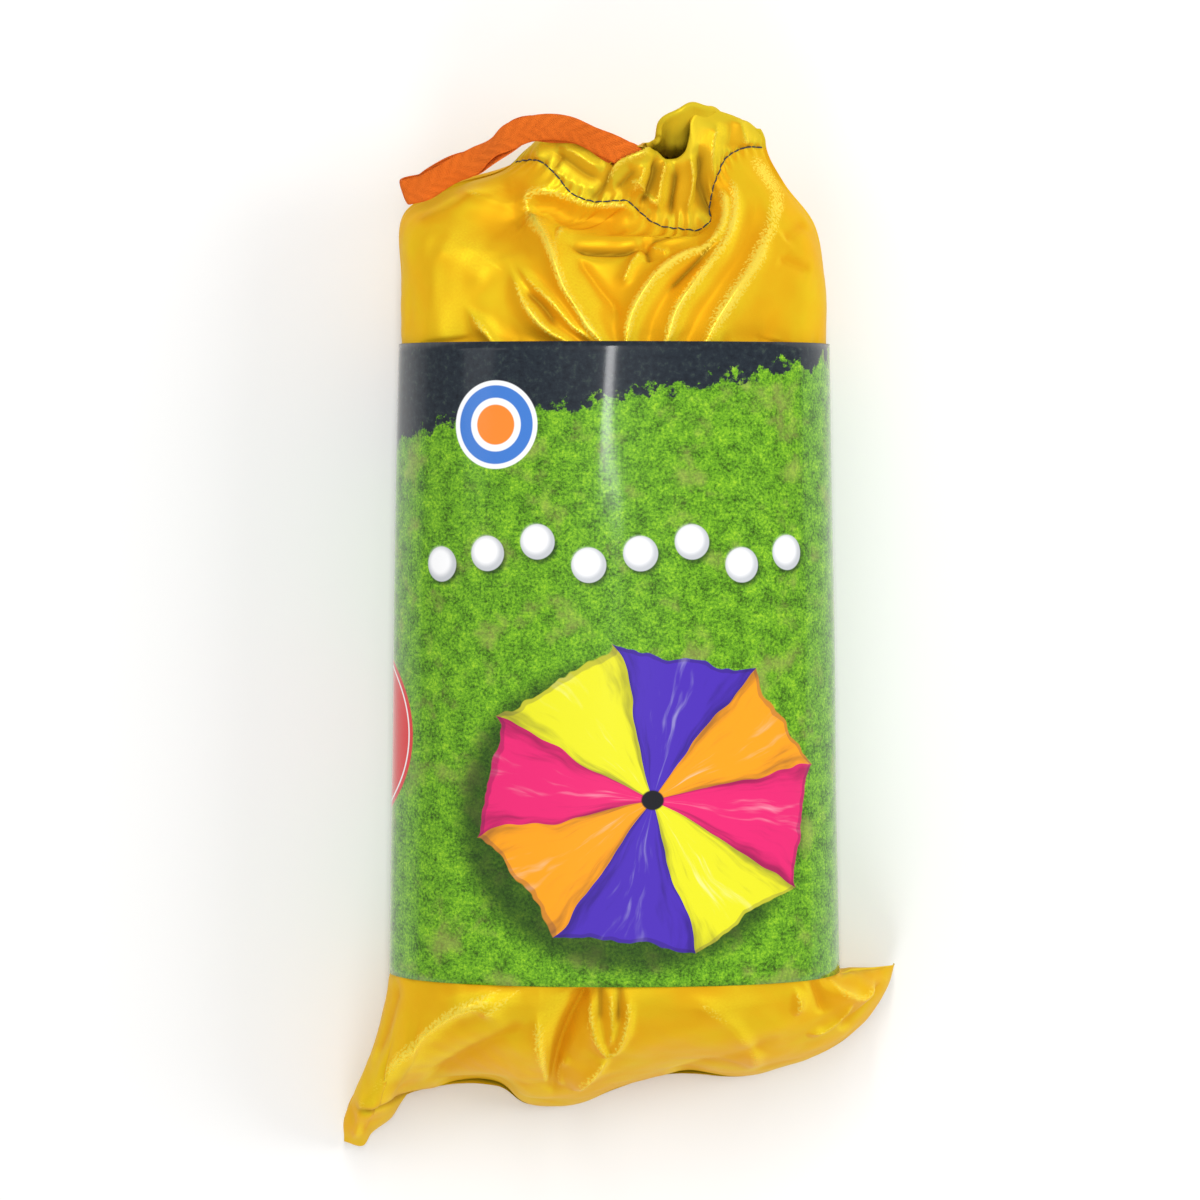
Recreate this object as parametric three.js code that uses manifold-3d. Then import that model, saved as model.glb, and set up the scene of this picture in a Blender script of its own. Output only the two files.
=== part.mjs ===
// A play parachute folded into its drawstring bag, with a printed card sleeve round the bag.
// Millimetres. The pack lies on its back: +X across it, +Y towards the mouth of the bag, +Z up.
import * as THREE from 'three';
import { mergeVertices } from 'three/addons/utils/BufferGeometryUtils.js';
import Module from 'manifold-3d';

const wasm = await Module();
wasm.setup();

// Card sleeve
const SLEEVE_LENGTH = 241;
const SLEEVE_BOTTOM_Y = -128;
const SLEEVE_CENTRE_X = -2;
const SLEEVE_BOTTOM_WIDTH = 174.2;
const SLEEVE_TOP_WIDTH = 165.4;
const SLEEVE_HEIGHT = 108;
const CARD_THICKNESS = 0.4;
const GLUE_LAP_WIDTH = 14;
const GLUE_LAP_X = 22;

// Bag cloth
const CLOTH_THICKNESS = 0.8;
const SHOULDER_RISE = 27;
const NECK_WIDTH = 94.3;
const NECK_X = 6.5;
const NECK_RISE = 72;
const NECK_Z = 61;
const NECK_DEPTH = 46;
const CHANNEL_HEIGHT = 20;
const CHANNEL_SPACE = 1.8;
const CHANNEL_END_GAP = 2.3;
const PLEATS_PER_SIDE = 5;
const PLEAT_DEPTH = 2;
const EAR_TIP_X = 109.2;
const LEFT_EAR_DROP = 75.8;
const RIGHT_EAR_DROP = 3;
const SEAM_HEIGHT = 8;
const EAR_BLUNTNESS = 0.93;
const SHOULDER_SAG = 4.5;
const LIP_RISE = 3;
const FOLD_WIDTH = 6;
const FOLD_START = 9;
const CREASE_DEPTH = 6.5;
const EAR_FOLD_RISE = 3;

// Drawstring tape
const TAPE_WIDTH = 10;
const TAPE_THICKNESS = 1;
const SLOT_WIDTH = 26;
const SLOT_DEPTH = 16.5;
const SLOT_X = -9;
const TAPE_TAIL = 1;

// Folded canopy
const GORE_COUNT = 8;
const BUNDLE_OVERHANG_TOP = 33;
const BUNDLE_OVERHANG_BOTTOM = 13;
const CROWN_RADIUS = 18;
const CROWN_THICKNESS = 5;
const CROWN_Z = 34;
const HANDLE_WIDTH = 25;
const HANDLE_LENGTH = 24;
const HANDLE_HEIGHT = 5.6;
const HANDLE_TAPE = 1.4;
const HANDLE_STAGGER = 5;
const HANDLE_STACK_Z = 20;

// Fits and facets
const CLEARANCE = 0.3;
const ROUNDNESS = 2.3;
const FLAT_SPREAD = 6;
const COLUMNS = 40;
const FOLD_STEPS = 4;

const FRONT = 1;
const BACK = -1;
const SLEEVE_TOP_Y = SLEEVE_BOTTOM_Y + SLEEVE_LENGTH;
const MID_Z = SLEEVE_HEIGHT / 2;
const BUNDLE_TOP_Y = SLEEVE_TOP_Y + BUNDLE_OVERHANG_TOP;
const BUNDLE_BOTTOM_Y = SLEEVE_BOTTOM_Y - BUNDLE_OVERHANG_BOTTOM;

const MATERIALS = {
  card: { color: 0x6fae2d, roughness: 0.25 },
  satin: { color: 0xebb919, roughness: 0.35 },
  tape: { color: 0xff6a20, roughness: 0.75 },
  violet: { color: 0x5032b4, roughness: 0.45 },
  yellow: { color: 0xe6e11e, roughness: 0.45 },
  magenta: { color: 0xe92c70, roughness: 0.45 },
  orange: { color: 0xf5a01e, roughness: 0.45 },
  black: { color: 0x16161a, roughness: 0.6 },
  white: { color: 0xf2f2ee, roughness: 0.8 },
};

// Solids from rows of points

function closedGeometry(positions, indices) {
  const geometry = new THREE.BufferGeometry();
  geometry.setAttribute('position', new THREE.Float32BufferAttribute(positions, 3));
  geometry.setIndex(indices);
  return geometry;
}

function signedVolume(positions, indices) {
  const corner = (i) => new THREE.Vector3().fromArray(positions, 3 * indices[i]);
  let volume = 0;
  for (let i = 0; i < indices.length; i += 3) {
    volume += corner(i).dot(corner(i + 1).cross(corner(i + 2))) / 6;
  }
  return volume;
}

// A wall between two layers of points with the same rows and columns, closed all round its rim.
function wallGeometry(face, back, ring = false) {
  const rows = face.length;
  const columns = face[0].length;
  const positions = [...face, ...back].flat().flatMap((point) => point.toArray());
  const at = (layer, row, column) => (layer * rows + row) * columns + (column % columns);
  const indices = [];
  const quad = (a, b, c, d) => indices.push(a, b, c, a, c, d);
  const lastColumn = ring ? columns : columns - 1;
  for (let row = 0; row < rows - 1; row += 1) {
    for (let column = 0; column < lastColumn; column += 1) {
      const next = column + 1;
      quad(at(0, row, column), at(0, row, next), at(0, row + 1, next), at(0, row + 1, column));
      quad(at(1, row, column), at(1, row + 1, column), at(1, row + 1, next), at(1, row, next));
    }
    if (!ring) {
      const end = columns - 1;
      quad(at(0, row, 0), at(0, row + 1, 0), at(1, row + 1, 0), at(1, row, 0));
      quad(at(0, row, end), at(1, row, end), at(1, row + 1, end), at(0, row + 1, end));
    }
  }
  for (let column = 0; column < lastColumn; column += 1) {
    const next = column + 1;
    const top = rows - 1;
    quad(at(0, 0, column), at(1, 0, column), at(1, 0, next), at(0, 0, next));
    quad(at(0, top, column), at(0, top, next), at(1, top, next), at(1, top, column));
  }
  if (signedVolume(positions, indices) < 0) {
    indices.reverse();
  }
  return closedGeometry(positions, indices);
}

function toSolid(geometry) {
  const bare = geometry.clone();
  bare.deleteAttribute('normal');
  bare.deleteAttribute('uv');
  const merged = mergeVertices(bare, 1e-4);
  return new wasm.Manifold(new wasm.Mesh({
    numProp: 3,
    vertProperties: Float32Array.from(merged.attributes.position.array),
    triVerts: Uint32Array.from(merged.index.array),
  }));
}

function toGeometry(solid) {
  const mesh = solid.getMesh();
  return closedGeometry(Array.from(mesh.vertProperties), Array.from(mesh.triVerts));
}

function boxBetween(low, high) {
  const size = high.clone().sub(low);
  const box = new THREE.BoxGeometry(size.x, size.y, size.z);
  const middle = low.clone().add(high).divideScalar(2);
  box.translate(middle.x, middle.y, middle.z);
  return toSolid(box);
}

// Rings: closed curves round the pack, each with a front half and a back half between two seams.
// left and right are [x, y] on the seams, front and back are [y, z] at the middle.

function sleeveRing(y, inset, floorInset) {
  const along = (y - SLEEVE_BOTTOM_Y) / SLEEVE_LENGTH;
  const width = THREE.MathUtils.lerp(SLEEVE_BOTTOM_WIDTH, SLEEVE_TOP_WIDTH, along);
  const half = width / 2 - inset;
  return {
    left: [SLEEVE_CENTRE_X - half, y],
    right: [SLEEVE_CENTRE_X + half, y],
    z: MID_Z,
    front: [y, SLEEVE_HEIGHT - inset],
    back: [y, floorInset],
    seamGap: 0,
    pleat: 0,
  };
}

// turn runs from 0 at the left seam to 1 at the right one, and past a seam it is on the other half.
function ringPoint(ring, half, across) {
  const beyond = across < 0 || across > 1;
  const side = beyond ? -half : half;
  const turn = across > 1 ? 2 - across : Math.abs(across);
  const angle = Math.PI * turn;
  const reach = Math.sign(Math.cos(angle)) * Math.abs(Math.cos(angle)) ** (2 / ROUNDNESS);
  const swell = Math.sin(angle) ** (2 / ROUNDNESS);
  const share = (1 - reach) / 2;
  const x = THREE.MathUtils.lerp(ring.left[0], ring.right[0], share);
  const seamY = ring.seamLine
    ? ring.seamLine(share)
    : THREE.MathUtils.lerp(ring.left[1], ring.right[1], share);
  const middleY = (ring.left[1] + ring.right[1]) / 2;
  const [crestY, crestZ] = side === FRONT ? ring.front : ring.back;
  const y = ring.seamLine ? seamY : seamY + (crestY - middleY) * swell;
  const seamZ = ring.z + side * ring.seamGap / 2;
  const spread = side === FRONT ? 0 : FLAT_SPREAD * (seamZ - crestZ) / MID_Z;
  let z = seamZ + (crestZ - spread - seamZ) * swell;
  z = side === FRONT ? z : Math.max(z, crestZ);
  const point = new THREE.Vector3(x, y, z);
  if (ring.pleat > 0) {
    const centre = new THREE.Vector3((ring.left[0] + ring.right[0]) / 2, y, ring.z);
    const outward = point.clone().sub(centre).normalize();
    point.addScaledVector(outward, ring.pleat * Math.cos(2 * Math.PI * PLEATS_PER_SIDE * turn));
  }
  return point;
}

// The bottom seam runs from the tip of the left ear to the tip of the right one, in two shallow scallops.
const SEAM_SHAPE = [
  [0, 0.975], [0.0275, 1], [0.076, 0.855], [0.131, 0.7], [0.202, 0.66], [0.273, 0.666], [0.345, 0.772],
  [0.405, 0.772], [0.5, 0.68], [0.61, 0.6], [0.706, 0.618], [0.829, 0.54], [0.94, 0.335], [0.967, 0.215], [1, 0],
];
const seamCurve = new THREE.CatmullRomCurve3(
  SEAM_SHAPE.map(([share, drop]) => new THREE.Vector3(share, drop, 0)),
);

function seamDrop(share) {
  let low = 0;
  let high = 1;
  for (let i = 0; i < 30; i += 1) {
    const middle = (low + high) / 2;
    if (seamCurve.getPoint(middle).x < share) {
      low = middle;
    } else {
      high = middle;
    }
  }
  return seamCurve.getPoint((low + high) / 2).y;
}

const BAG_INSET = CARD_THICKNESS + CLEARANCE;
const BAG_FLOOR = 2 * CARD_THICKNESS + CLEARANCE;
const bagRing = (y) => ({ ...sleeveRing(y, BAG_INSET, BAG_FLOOR), seamGap: CLEARANCE });
const bagBottomRing = bagRing(SLEEVE_BOTTOM_Y);
const bagTopRing = bagRing(SLEEVE_TOP_Y);
const SEAM_SLOPE = 2.4;
const SEAM_GAP = SEAM_SLOPE * (2 * CLOTH_THICKNESS + CLEARANCE);

function seamY(share) {
  return SLEEVE_BOTTOM_Y - RIGHT_EAR_DROP - (LEFT_EAR_DROP - RIGHT_EAR_DROP) * seamDrop(share);
}

// reach runs from 0 at the sleeve to 1 at the bottom seam.
function bottomRing(reach, z, frontZ, backZ) {
  const spread = Math.min(1, reach / EAR_BLUNTNESS) ** 1.4;
  return {
    left: [THREE.MathUtils.lerp(bagBottomRing.left[0], -EAR_TIP_X, spread), 0],
    right: [THREE.MathUtils.lerp(bagBottomRing.right[0], EAR_TIP_X, spread), 0],
    z,
    front: [0, frontZ],
    back: [0, backZ],
    seamGap: SEAM_GAP,
    pleat: 0,
    seamLine: (share) => THREE.MathUtils.lerp(SLEEVE_BOTTOM_Y, seamY(share), reach),
  };
}

const seamRing = bottomRing(1, SEAM_HEIGHT, SEAM_HEIGHT + SEAM_GAP / 2, SEAM_HEIGHT - SEAM_GAP / 2);

function upperRing(left, right, z, front, back, pleat, seamGap = 2 * CLEARANCE) {
  return { left, right, z, front, back, seamGap, pleat };
}

const NECK_Y = SLEEVE_TOP_Y + NECK_RISE;
const SHOULDER_Y = SLEEVE_TOP_Y + SHOULDER_RISE;
const shoulderHalf = SLEEVE_TOP_WIDTH / 2 - BAG_INSET;
const neckHalf = NECK_WIDTH / 2;
const neckTop = NECK_Z + NECK_DEPTH / 2;
const neckFloor = NECK_Z - NECK_DEPTH / 2;

const BAG_RINGS = [
  seamRing,
  bottomRing(0.86, MID_Z * 0.3, SLEEVE_HEIGHT * 0.38, 0),
  bottomRing(0.64, MID_Z * 0.54, SLEEVE_HEIGHT * 0.685, 0),
  bottomRing(0.34, MID_Z * 0.78, SLEEVE_HEIGHT * 0.9, 0),
  bagBottomRing,
  bagTopRing,
  upperRing(
    [SLEEVE_CENTRE_X - shoulderHalf + 0.2, SHOULDER_Y - 2],
    [SLEEVE_CENTRE_X + shoulderHalf - 1.5, SHOULDER_Y],
    MID_Z,
    [SLEEVE_TOP_Y + 18, SLEEVE_HEIGHT - BAG_INSET - 1.5],
    [SHOULDER_Y, BAG_FLOOR + 2],
    0,
  ),
  upperRing(
    [SLEEVE_CENTRE_X - shoulderHalf + 2, NECK_Y - 21],
    [NECK_X + neckHalf + 21, NECK_Y - 26],
    MID_Z + 2,
    [SLEEVE_TOP_Y + 33, SLEEVE_HEIGHT - 7],
    [NECK_Y - 22, BAG_FLOOR + 8],
    0.5,
  ),
  upperRing(
    [SLEEVE_CENTRE_X - shoulderHalf + 15, NECK_Y - 11],
    [NECK_X + neckHalf + 9, NECK_Y - 10],
    MID_Z + 5,
    [SLEEVE_TOP_Y + 43, SLEEVE_HEIGHT - 15],
    [NECK_Y - 8, BAG_FLOOR + 19],
    1.2,
  ),
  upperRing(
    [NECK_X - neckHalf, NECK_Y],
    [NECK_X + neckHalf, NECK_Y + 4],
    NECK_Z,
    [NECK_Y - 21, neckTop],
    [NECK_Y + 8, neckFloor],
    PLEAT_DEPTH,
    CHANNEL_END_GAP,
  ),
  upperRing(
    [NECK_X - neckHalf + 7, NECK_Y + CHANNEL_HEIGHT * 0.3],
    [NECK_X + neckHalf - 3, NECK_Y + CHANNEL_HEIGHT * 0.65],
    NECK_Z + 3,
    [NECK_Y - 21 + CHANNEL_HEIGHT, neckTop - 9],
    [NECK_Y + CHANNEL_HEIGHT * 0.9, neckFloor + 19],
    PLEAT_DEPTH,
    CHANNEL_END_GAP,
  ),
];
const SLEEVE_SPAN = 4;
const CHANNEL_SPAN = BAG_RINGS.length - 2;
const STEPS = [2, 2, 2, 2, 1, 2, 2, 2, 2, 3];

// Right side of the cloth of one panel, before its folds: a curve up the bag at a turn across.

function columnCurve(side, turn) {
  return new THREE.CatmullRomCurve3(BAG_RINGS.map((ring) => ringPoint(ring, side, turn)));
}

// Main folds of the front panel, as lines seen from above. x is as drawn, y counts from an end of the sleeve.
// Between the mouth and the sleeve the cloth is tight along ridges and sags between them.
const SHOULDER_RIDGES = [
  [[-34, 52], [-25, 32], [-16, 14], [-6, 0]],
  [[1, 0], [8, 19], [18, 30], [31, 36], [38, 45], [40, 63]],
  [[17, 0], [24, 17], [33, 29], [43, 45], [44, 64]],
  [[32, 0], [42, 17], [51, 30], [60, 53], [50, 71]],
  [[-22, 0], [-39, 25]],
  [[-48, 0], [-61, 13]],
];
const LIP_RIDGE = [[-34, 53], [-19, 55], [-4, 53]];
// Below the sleeve one deep crease runs down the middle, and a ridge runs out to the left ear.
const BOTTOM_CREASE = [[-13, 0], [-20, -25], [-25, -42]];
const EAR_RIDGE = [[-42, -3], [-75, -18], [-96, -50]];

function distanceTo(line, x, y) {
  let least = Infinity;
  for (let i = 0; i < line.length - 1; i += 1) {
    const [startX, startY] = line[i];
    const [stepX, stepY] = [line[i + 1][0] - startX, line[i + 1][1] - startY];
    const along = ((x - startX) * stepX + (y - startY) * stepY) / (stepX * stepX + stepY * stepY);
    const share = THREE.MathUtils.clamp(along, 0, 1);
    least = Math.min(least, Math.hypot(x - startX - share * stepX, y - startY - share * stepY));
  }
  return least;
}

const ridgeShape = (distance) => Math.exp(-((distance / FOLD_WIDTH) ** 2));

// How far a fold stands out of the front panel at a place seen from above, and at a turn across.
function foldRise(x, y, turn) {
  const fromSeam = THREE.MathUtils.smoothstep(Math.min(turn, 1 - turn), 0.12, 0.32);
  const above = y - SLEEVE_TOP_Y;
  const below = SLEEVE_BOTTOM_Y - y;
  if (above > 0) {
    const start = THREE.MathUtils.smoothstep(above, 0, FOLD_START);
    const end = 1 - THREE.MathUtils.smoothstep(above, NECK_RISE * 0.55, NECK_RISE);
    const ridge = Math.max(...SHOULDER_RIDGES.map((line) => ridgeShape(distanceTo(line, x, above))));
    const lip = ridgeShape(distanceTo(LIP_RIDGE, x, above));
    return fromSeam * start * (end * SHOULDER_SAG * (ridge - 1) + LIP_RISE * lip);
  }
  const start = THREE.MathUtils.smoothstep(below, 0, FOLD_START);
  const crease = ridgeShape(distanceTo(BOTTOM_CREASE, x, -below));
  const ear = ridgeShape(distanceTo(EAR_RIDGE, x, -below));
  return fromSeam * start * (EAR_FOLD_RISE * ear - CREASE_DEPTH * crease);
}

const turns = Array.from({ length: COLUMNS + 1 }, (_, i) => i / COLUMNS);
const turnsPastSeams = [-1 / COLUMNS, ...turns, 1 + 1 / COLUMNS];

function inward(rows, row, column, side) {
  const last = rows.length - 1;
  const end = rows[0].length - 1;
  const up = rows[Math.min(row + 1, last)][column].clone().sub(rows[Math.max(row - 1, 0)][column]);
  const across = rows[row][Math.min(column + 1, end)].clone().sub(rows[row][Math.max(column - 1, 0)]);
  return up.cross(across).normalize().multiplyScalar(side);
}

function panelRows(side) {
  const curves = turnsPastSeams.map((turn) => columnCurve(side, turn));
  const stations = [0];
  STEPS.forEach((steps, span) => {
    for (let i = 1; i <= steps; i += 1) {
      stations.push(span + i / steps);
    }
  });
  const smooth = stations.map((station) => curves.map((curve) => {
    const point = curve.getPoint(station / STEPS.length);
    point.z = Math.max(point.z, 0);
    return point;
  }));
  if (side === BACK) {
    return smooth;
  }
  return smooth.map((row, i) => row.map((point, column) => {
    const turn = THREE.MathUtils.clamp(turnsPastSeams[column], 0, 1);
    const held = THREE.MathUtils.smoothstep(stations[i], 0, 1)
      * (1 - THREE.MathUtils.smoothstep(stations[i], CHANNEL_SPAN - 1, CHANNEL_SPAN - 0.25));
    const rise = foldRise(point.x, point.y, turn) * held;
    return point.clone().addScaledVector(inward(smooth, i, column, side), -rise);
  }));
}

// Rows of the channel hem: the cloth turns in at the mouth edge and comes back down to the stitch line.
function hemRows(rows, side) {
  const edge = rows.length - 1;
  const turnIn = CLOTH_THICKNESS + CHANNEL_SPACE / 2;
  const folded = [];
  for (let step = 1; step < FOLD_STEPS; step += 1) {
    const angle = (Math.PI * step) / FOLD_STEPS;
    folded.push(rows[edge].map((point, column) => {
      const upward = point.clone().sub(rows[edge - 1][column]).normalize();
      return point.clone()
        .addScaledVector(upward, turnIn * Math.sin(angle))
        .addScaledVector(inward(rows, edge, column, side), turnIn * (1 - Math.cos(angle)));
    }));
  }
  for (let back = 0; back <= STEPS[CHANNEL_SPAN] - 1; back += 1) {
    const row = edge - back;
    folded.push(rows[row].map((point, column) => (
      point.clone().addScaledVector(inward(rows, row, column, side), 2 * turnIn)
    )));
  }
  return folded;
}

function panelGeometry(side) {
  const outer = panelRows(side);
  const face = [...outer, ...hemRows(outer, side)];
  const back = face.map((row, i) => row.map((point, column) => (
    point.clone().addScaledVector(inward(face, i, column, side), CLOTH_THICKNESS)
  )));
  const withinSeams = (rows) => rows.map((row) => row.slice(1, -1));
  return wallGeometry(withinSeams(face), withinSeams(back));
}

// The slot in the front hem, where both ends of the tape come out.
function slotSolid() {
  const mouth = BAG_RINGS[BAG_RINGS.length - 1];
  const y = NECK_Y - 21 + CHANNEL_HEIGHT;
  return boxBetween(
    new THREE.Vector3(SLOT_X - SLOT_WIDTH / 2, y - SLOT_DEPTH, mouth.z),
    new THREE.Vector3(SLOT_X + SLOT_WIDTH / 2, y + SLOT_DEPTH, neckTop + SLOT_DEPTH),
  );
}

// The card sleeve, one strip of card lapped and glued under the pack.

function sleeveGeometry() {
  const loop = (inset) => [SLEEVE_BOTTOM_Y, SLEEVE_TOP_Y].map((y) => {
    const ring = sleeveRing(y, inset, inset);
    const over = turns.slice(0, -1).map((turn) => ringPoint(ring, FRONT, turn));
    const under = turns.slice(0, -1).map((turn) => ringPoint(ring, BACK, 1 - turn));
    return [...over, ...under];
  });
  const band = toSolid(wallGeometry(loop(0), loop(CARD_THICKNESS), true));
  const lap = boxBetween(
    new THREE.Vector3(GLUE_LAP_X - GLUE_LAP_WIDTH / 2, SLEEVE_BOTTOM_Y, CARD_THICKNESS / 2),
    new THREE.Vector3(GLUE_LAP_X + GLUE_LAP_WIDTH / 2, SLEEVE_TOP_Y, 2 * CARD_THICKNESS),
  );
  return toGeometry(band.add(lap));
}

// The tape inside the channel, from the slot round the mouth and back to the slot.

function channelTapeGeometry() {
  const slotTurn = (x) => Math.acos(1 - 2 * (x - (NECK_X - neckHalf)) / NECK_WIDTH) / Math.PI;
  const from = slotTurn(SLOT_X + SLOT_WIDTH / 2 - TAPE_TAIL);
  const to = slotTurn(SLOT_X - SLOT_WIDTH / 2 + TAPE_TAIL);
  const route = [
    [FRONT, from],
    ...turns.filter((turn) => turn > from).map((turn) => [FRONT, turn]),
    ...turns.map((turn) => [BACK, 1 - turn]),
    ...turns.filter((turn) => turn < to).map((turn) => [FRONT, turn]),
    [FRONT, to],
  ];
  const edge = TAPE_WIDTH / CHANNEL_HEIGHT / 2;
  const sink = CLOTH_THICKNESS + CHANNEL_SPACE / 2;
  const rows = [0.5 - edge, 0.5 + edge].map((share) => route.map(([side, turn]) => (
    columnCurve(side, turn).getPoint((CHANNEL_SPAN + share) / STEPS.length)
  )));
  const layer = (depth) => rows.map((row) => row.map((point, column) => {
    const end = row.length - 1;
    const up = rows[1][column].clone().sub(rows[0][column]);
    const across = row[Math.min(column + 1, end)].clone().sub(row[Math.max(column - 1, 0)]);
    return point.clone().addScaledVector(up.cross(across).normalize(), depth);
  }));
  return wallGeometry(layer(sink - TAPE_THICKNESS / 2), layer(sink + TAPE_THICKNESS / 2));
}

// The free loop of tape: out of the slot, over to the left shoulder of the bag, folded, and back.
const LOOP_POINTS = [
  [2.7, 172.8, 76.3], [0.4, 173.2, 76.8], [-3.2, 177, 80.6], [-8, 184, 85.2], [-17, 190.5, 86.5],
  [-28, 195, 84.5],
  [-37.5, 193, 81.5], [-46, 188.7, 78.5], [-56, 183, 77], [-65, 179, 75.6], [-72.5, 175.5, 75],
  [-77.2, 173, 73.4], [-78, 171.5, 71], [-75.5, 171.5, 69], [-69, 173.5, 69.8],
  [-60, 177.2, 70], [-51, 181.2, 71.8], [-42.5, 185, 73.5], [-34, 188, 76.6], [-26, 188, 79.6],
  [-19.5, 184.4, 81.8], [-15.2, 180.4, 81.6], [-13.4, 177, 79], [-13.4, 175, 76.2], [-16.5, 174.2, 74.7],
];

function loopTapeGeometry() {
  const route = new THREE.CatmullRomCurve3(LOOP_POINTS.map((p) => new THREE.Vector3(...p)));
  const steps = 48;
  const section = Array.from({ length: 8 }, (_, i) => {
    const angle = (Math.PI * (i + 0.5)) / 4;
    return [Math.cos(angle) * TAPE_WIDTH / 2, Math.sin(angle) * TAPE_THICKNESS / 2];
  });
  const flat = new THREE.Vector3(0.25, 1, 0.45).normalize();
  const positions = [];
  for (let i = 0; i <= steps; i += 1) {
    const centre = route.getPointAt(i / steps);
    const along = route.getTangentAt(i / steps);
    const across = flat.clone().addScaledVector(along, -flat.dot(along)).normalize();
    const through = along.clone().cross(across);
    section.forEach(([wide, deep]) => {
      const point = centre.clone().addScaledVector(across, wide).addScaledVector(through, deep);
      positions.push(...point.toArray());
    });
  }
  const indices = [];
  const sides = section.length;
  for (let i = 0; i < steps; i += 1) {
    for (let j = 0; j < sides; j += 1) {
      const next = (j + 1) % sides;
      const a = i * sides + j;
      const b = i * sides + next;
      indices.push(a, b, b + sides, a, b + sides, a + sides);
    }
  }
  for (let j = 1; j < sides - 1; j += 1) {
    const last = steps * sides;
    indices.push(0, j + 1, j, last, last + j, last + j + 1);
  }
  if (signedVolume(positions, indices) < 0) {
    indices.reverse();
  }
  return closedGeometry(positions, indices);
}

// The canopy, folded flat: its gores lie on one another, crown end down the bag, handles at the mouth.

const BUNDLE_INSET = BAG_INSET + CLOTH_THICKNESS + CLEARANCE;
const BUNDLE_FLOOR = BAG_FLOOR + CLOTH_THICKNESS + CLEARANCE;
const BUNDLE_TOP_Z = SLEEVE_HEIGHT - BUNDLE_INSET;

function bundleSolid() {
  const low = sleeveRing(SLEEVE_BOTTOM_Y, BUNDLE_INSET, BUNDLE_FLOOR);
  const high = sleeveRing(SLEEVE_TOP_Y, BUNDLE_INSET, BUNDLE_FLOOR);
  const narrowed = (ring, y, share, frontZ, floor) => ({
    ...ring,
    left: [SLEEVE_CENTRE_X + (ring.left[0] - SLEEVE_CENTRE_X) * share, y],
    right: [SLEEVE_CENTRE_X + (ring.right[0] - SLEEVE_CENTRE_X) * share, y],
    front: [y, frontZ],
    back: [y, floor],
  });
  const rings = [
    narrowed(low, BUNDLE_BOTTOM_Y, 0.74, BUNDLE_TOP_Z * 0.78, BUNDLE_FLOOR + 3),
    narrowed(low, (BUNDLE_BOTTOM_Y + SLEEVE_BOTTOM_Y) / 2, 0.91, BUNDLE_TOP_Z * 0.88, BUNDLE_FLOOR + 1),
    low,
    high,
    narrowed(high, (BUNDLE_TOP_Y + SLEEVE_TOP_Y) / 2, 0.96, BUNDLE_TOP_Z * 0.92, BUNDLE_FLOOR + 3),
    narrowed(high, BUNDLE_TOP_Y, 0.84, BUNDLE_TOP_Z * 0.8, BUNDLE_FLOOR + 9),
  ];
  const loops = rings.map((ring) => [
    ...turns.slice(0, -1).map((turn) => ringPoint(ring, FRONT, turn)),
    ...turns.slice(0, -1).map((turn) => ringPoint(ring, BACK, 1 - turn)),
  ]);
  const positions = loops.flat().flatMap((point) => point.toArray());
  const count = loops[0].length;
  const indices = [];
  for (let i = 0; i < loops.length - 1; i += 1) {
    for (let j = 0; j < count; j += 1) {
      const next = (j + 1) % count;
      const a = i * count + j;
      const b = i * count + next;
      indices.push(a, b, b + count, a, b + count, a + count);
    }
  }
  loops.forEach((loop, i) => {
    if (i === 0 || i === loops.length - 1) {
      const middle = new THREE.Vector3();
      loop.forEach((point) => middle.add(point));
      middle.divideScalar(count);
      const hub = positions.length / 3;
      positions.push(...middle.toArray());
      for (let j = 0; j < count; j += 1) {
        const a = i * count + j;
        const b = i * count + ((j + 1) % count);
        indices.push(...(i === 0 ? [hub, b, a] : [hub, a, b]));
      }
    }
  });
  if (signedVolume(positions, indices) < 0) {
    indices.reverse();
  }
  return toSolid(closedGeometry(positions, indices));
}

function goreGeometries() {
  const bundle = bundleSolid();
  const pitch = (BUNDLE_TOP_Z - BUNDLE_FLOOR) / GORE_COUNT;
  const reach = EAR_TIP_X;
  return Array.from({ length: GORE_COUNT }, (_, i) => {
    const low = BUNDLE_FLOOR + pitch * i + (i === 0 ? -CLEARANCE : CLEARANCE / 2);
    const high = BUNDLE_FLOOR + pitch * (i + 1) - (i === GORE_COUNT - 1 ? -CLEARANCE : CLEARANCE / 2);
    const slice = boxBetween(
      new THREE.Vector3(-reach, BUNDLE_BOTTOM_Y - reach, low),
      new THREE.Vector3(reach, BUNDLE_TOP_Y + reach, high),
    );
    return toGeometry(bundle.intersect(slice));
  });
}

function crownGeometry() {
  const outline = new THREE.Shape();
  outline.absarc(0, 0, CROWN_RADIUS, Math.PI, 2 * Math.PI, false);
  outline.closePath();
  const patch = new THREE.ExtrudeGeometry(outline, {
    depth: CROWN_THICKNESS,
    bevelEnabled: false,
    curveSegments: 12,
  });
  patch.translate(SLEEVE_CENTRE_X, BUNDLE_BOTTOM_Y - CLEARANCE, CROWN_Z);
  return patch;
}

function racetrack(shape, length, height) {
  const radius = height / 2;
  shape.absarc(length - radius, 0, radius, -Math.PI / 2, Math.PI / 2, false);
  shape.lineTo(0, radius);
  shape.lineTo(0, -radius);
  shape.closePath();
  return shape;
}

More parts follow.
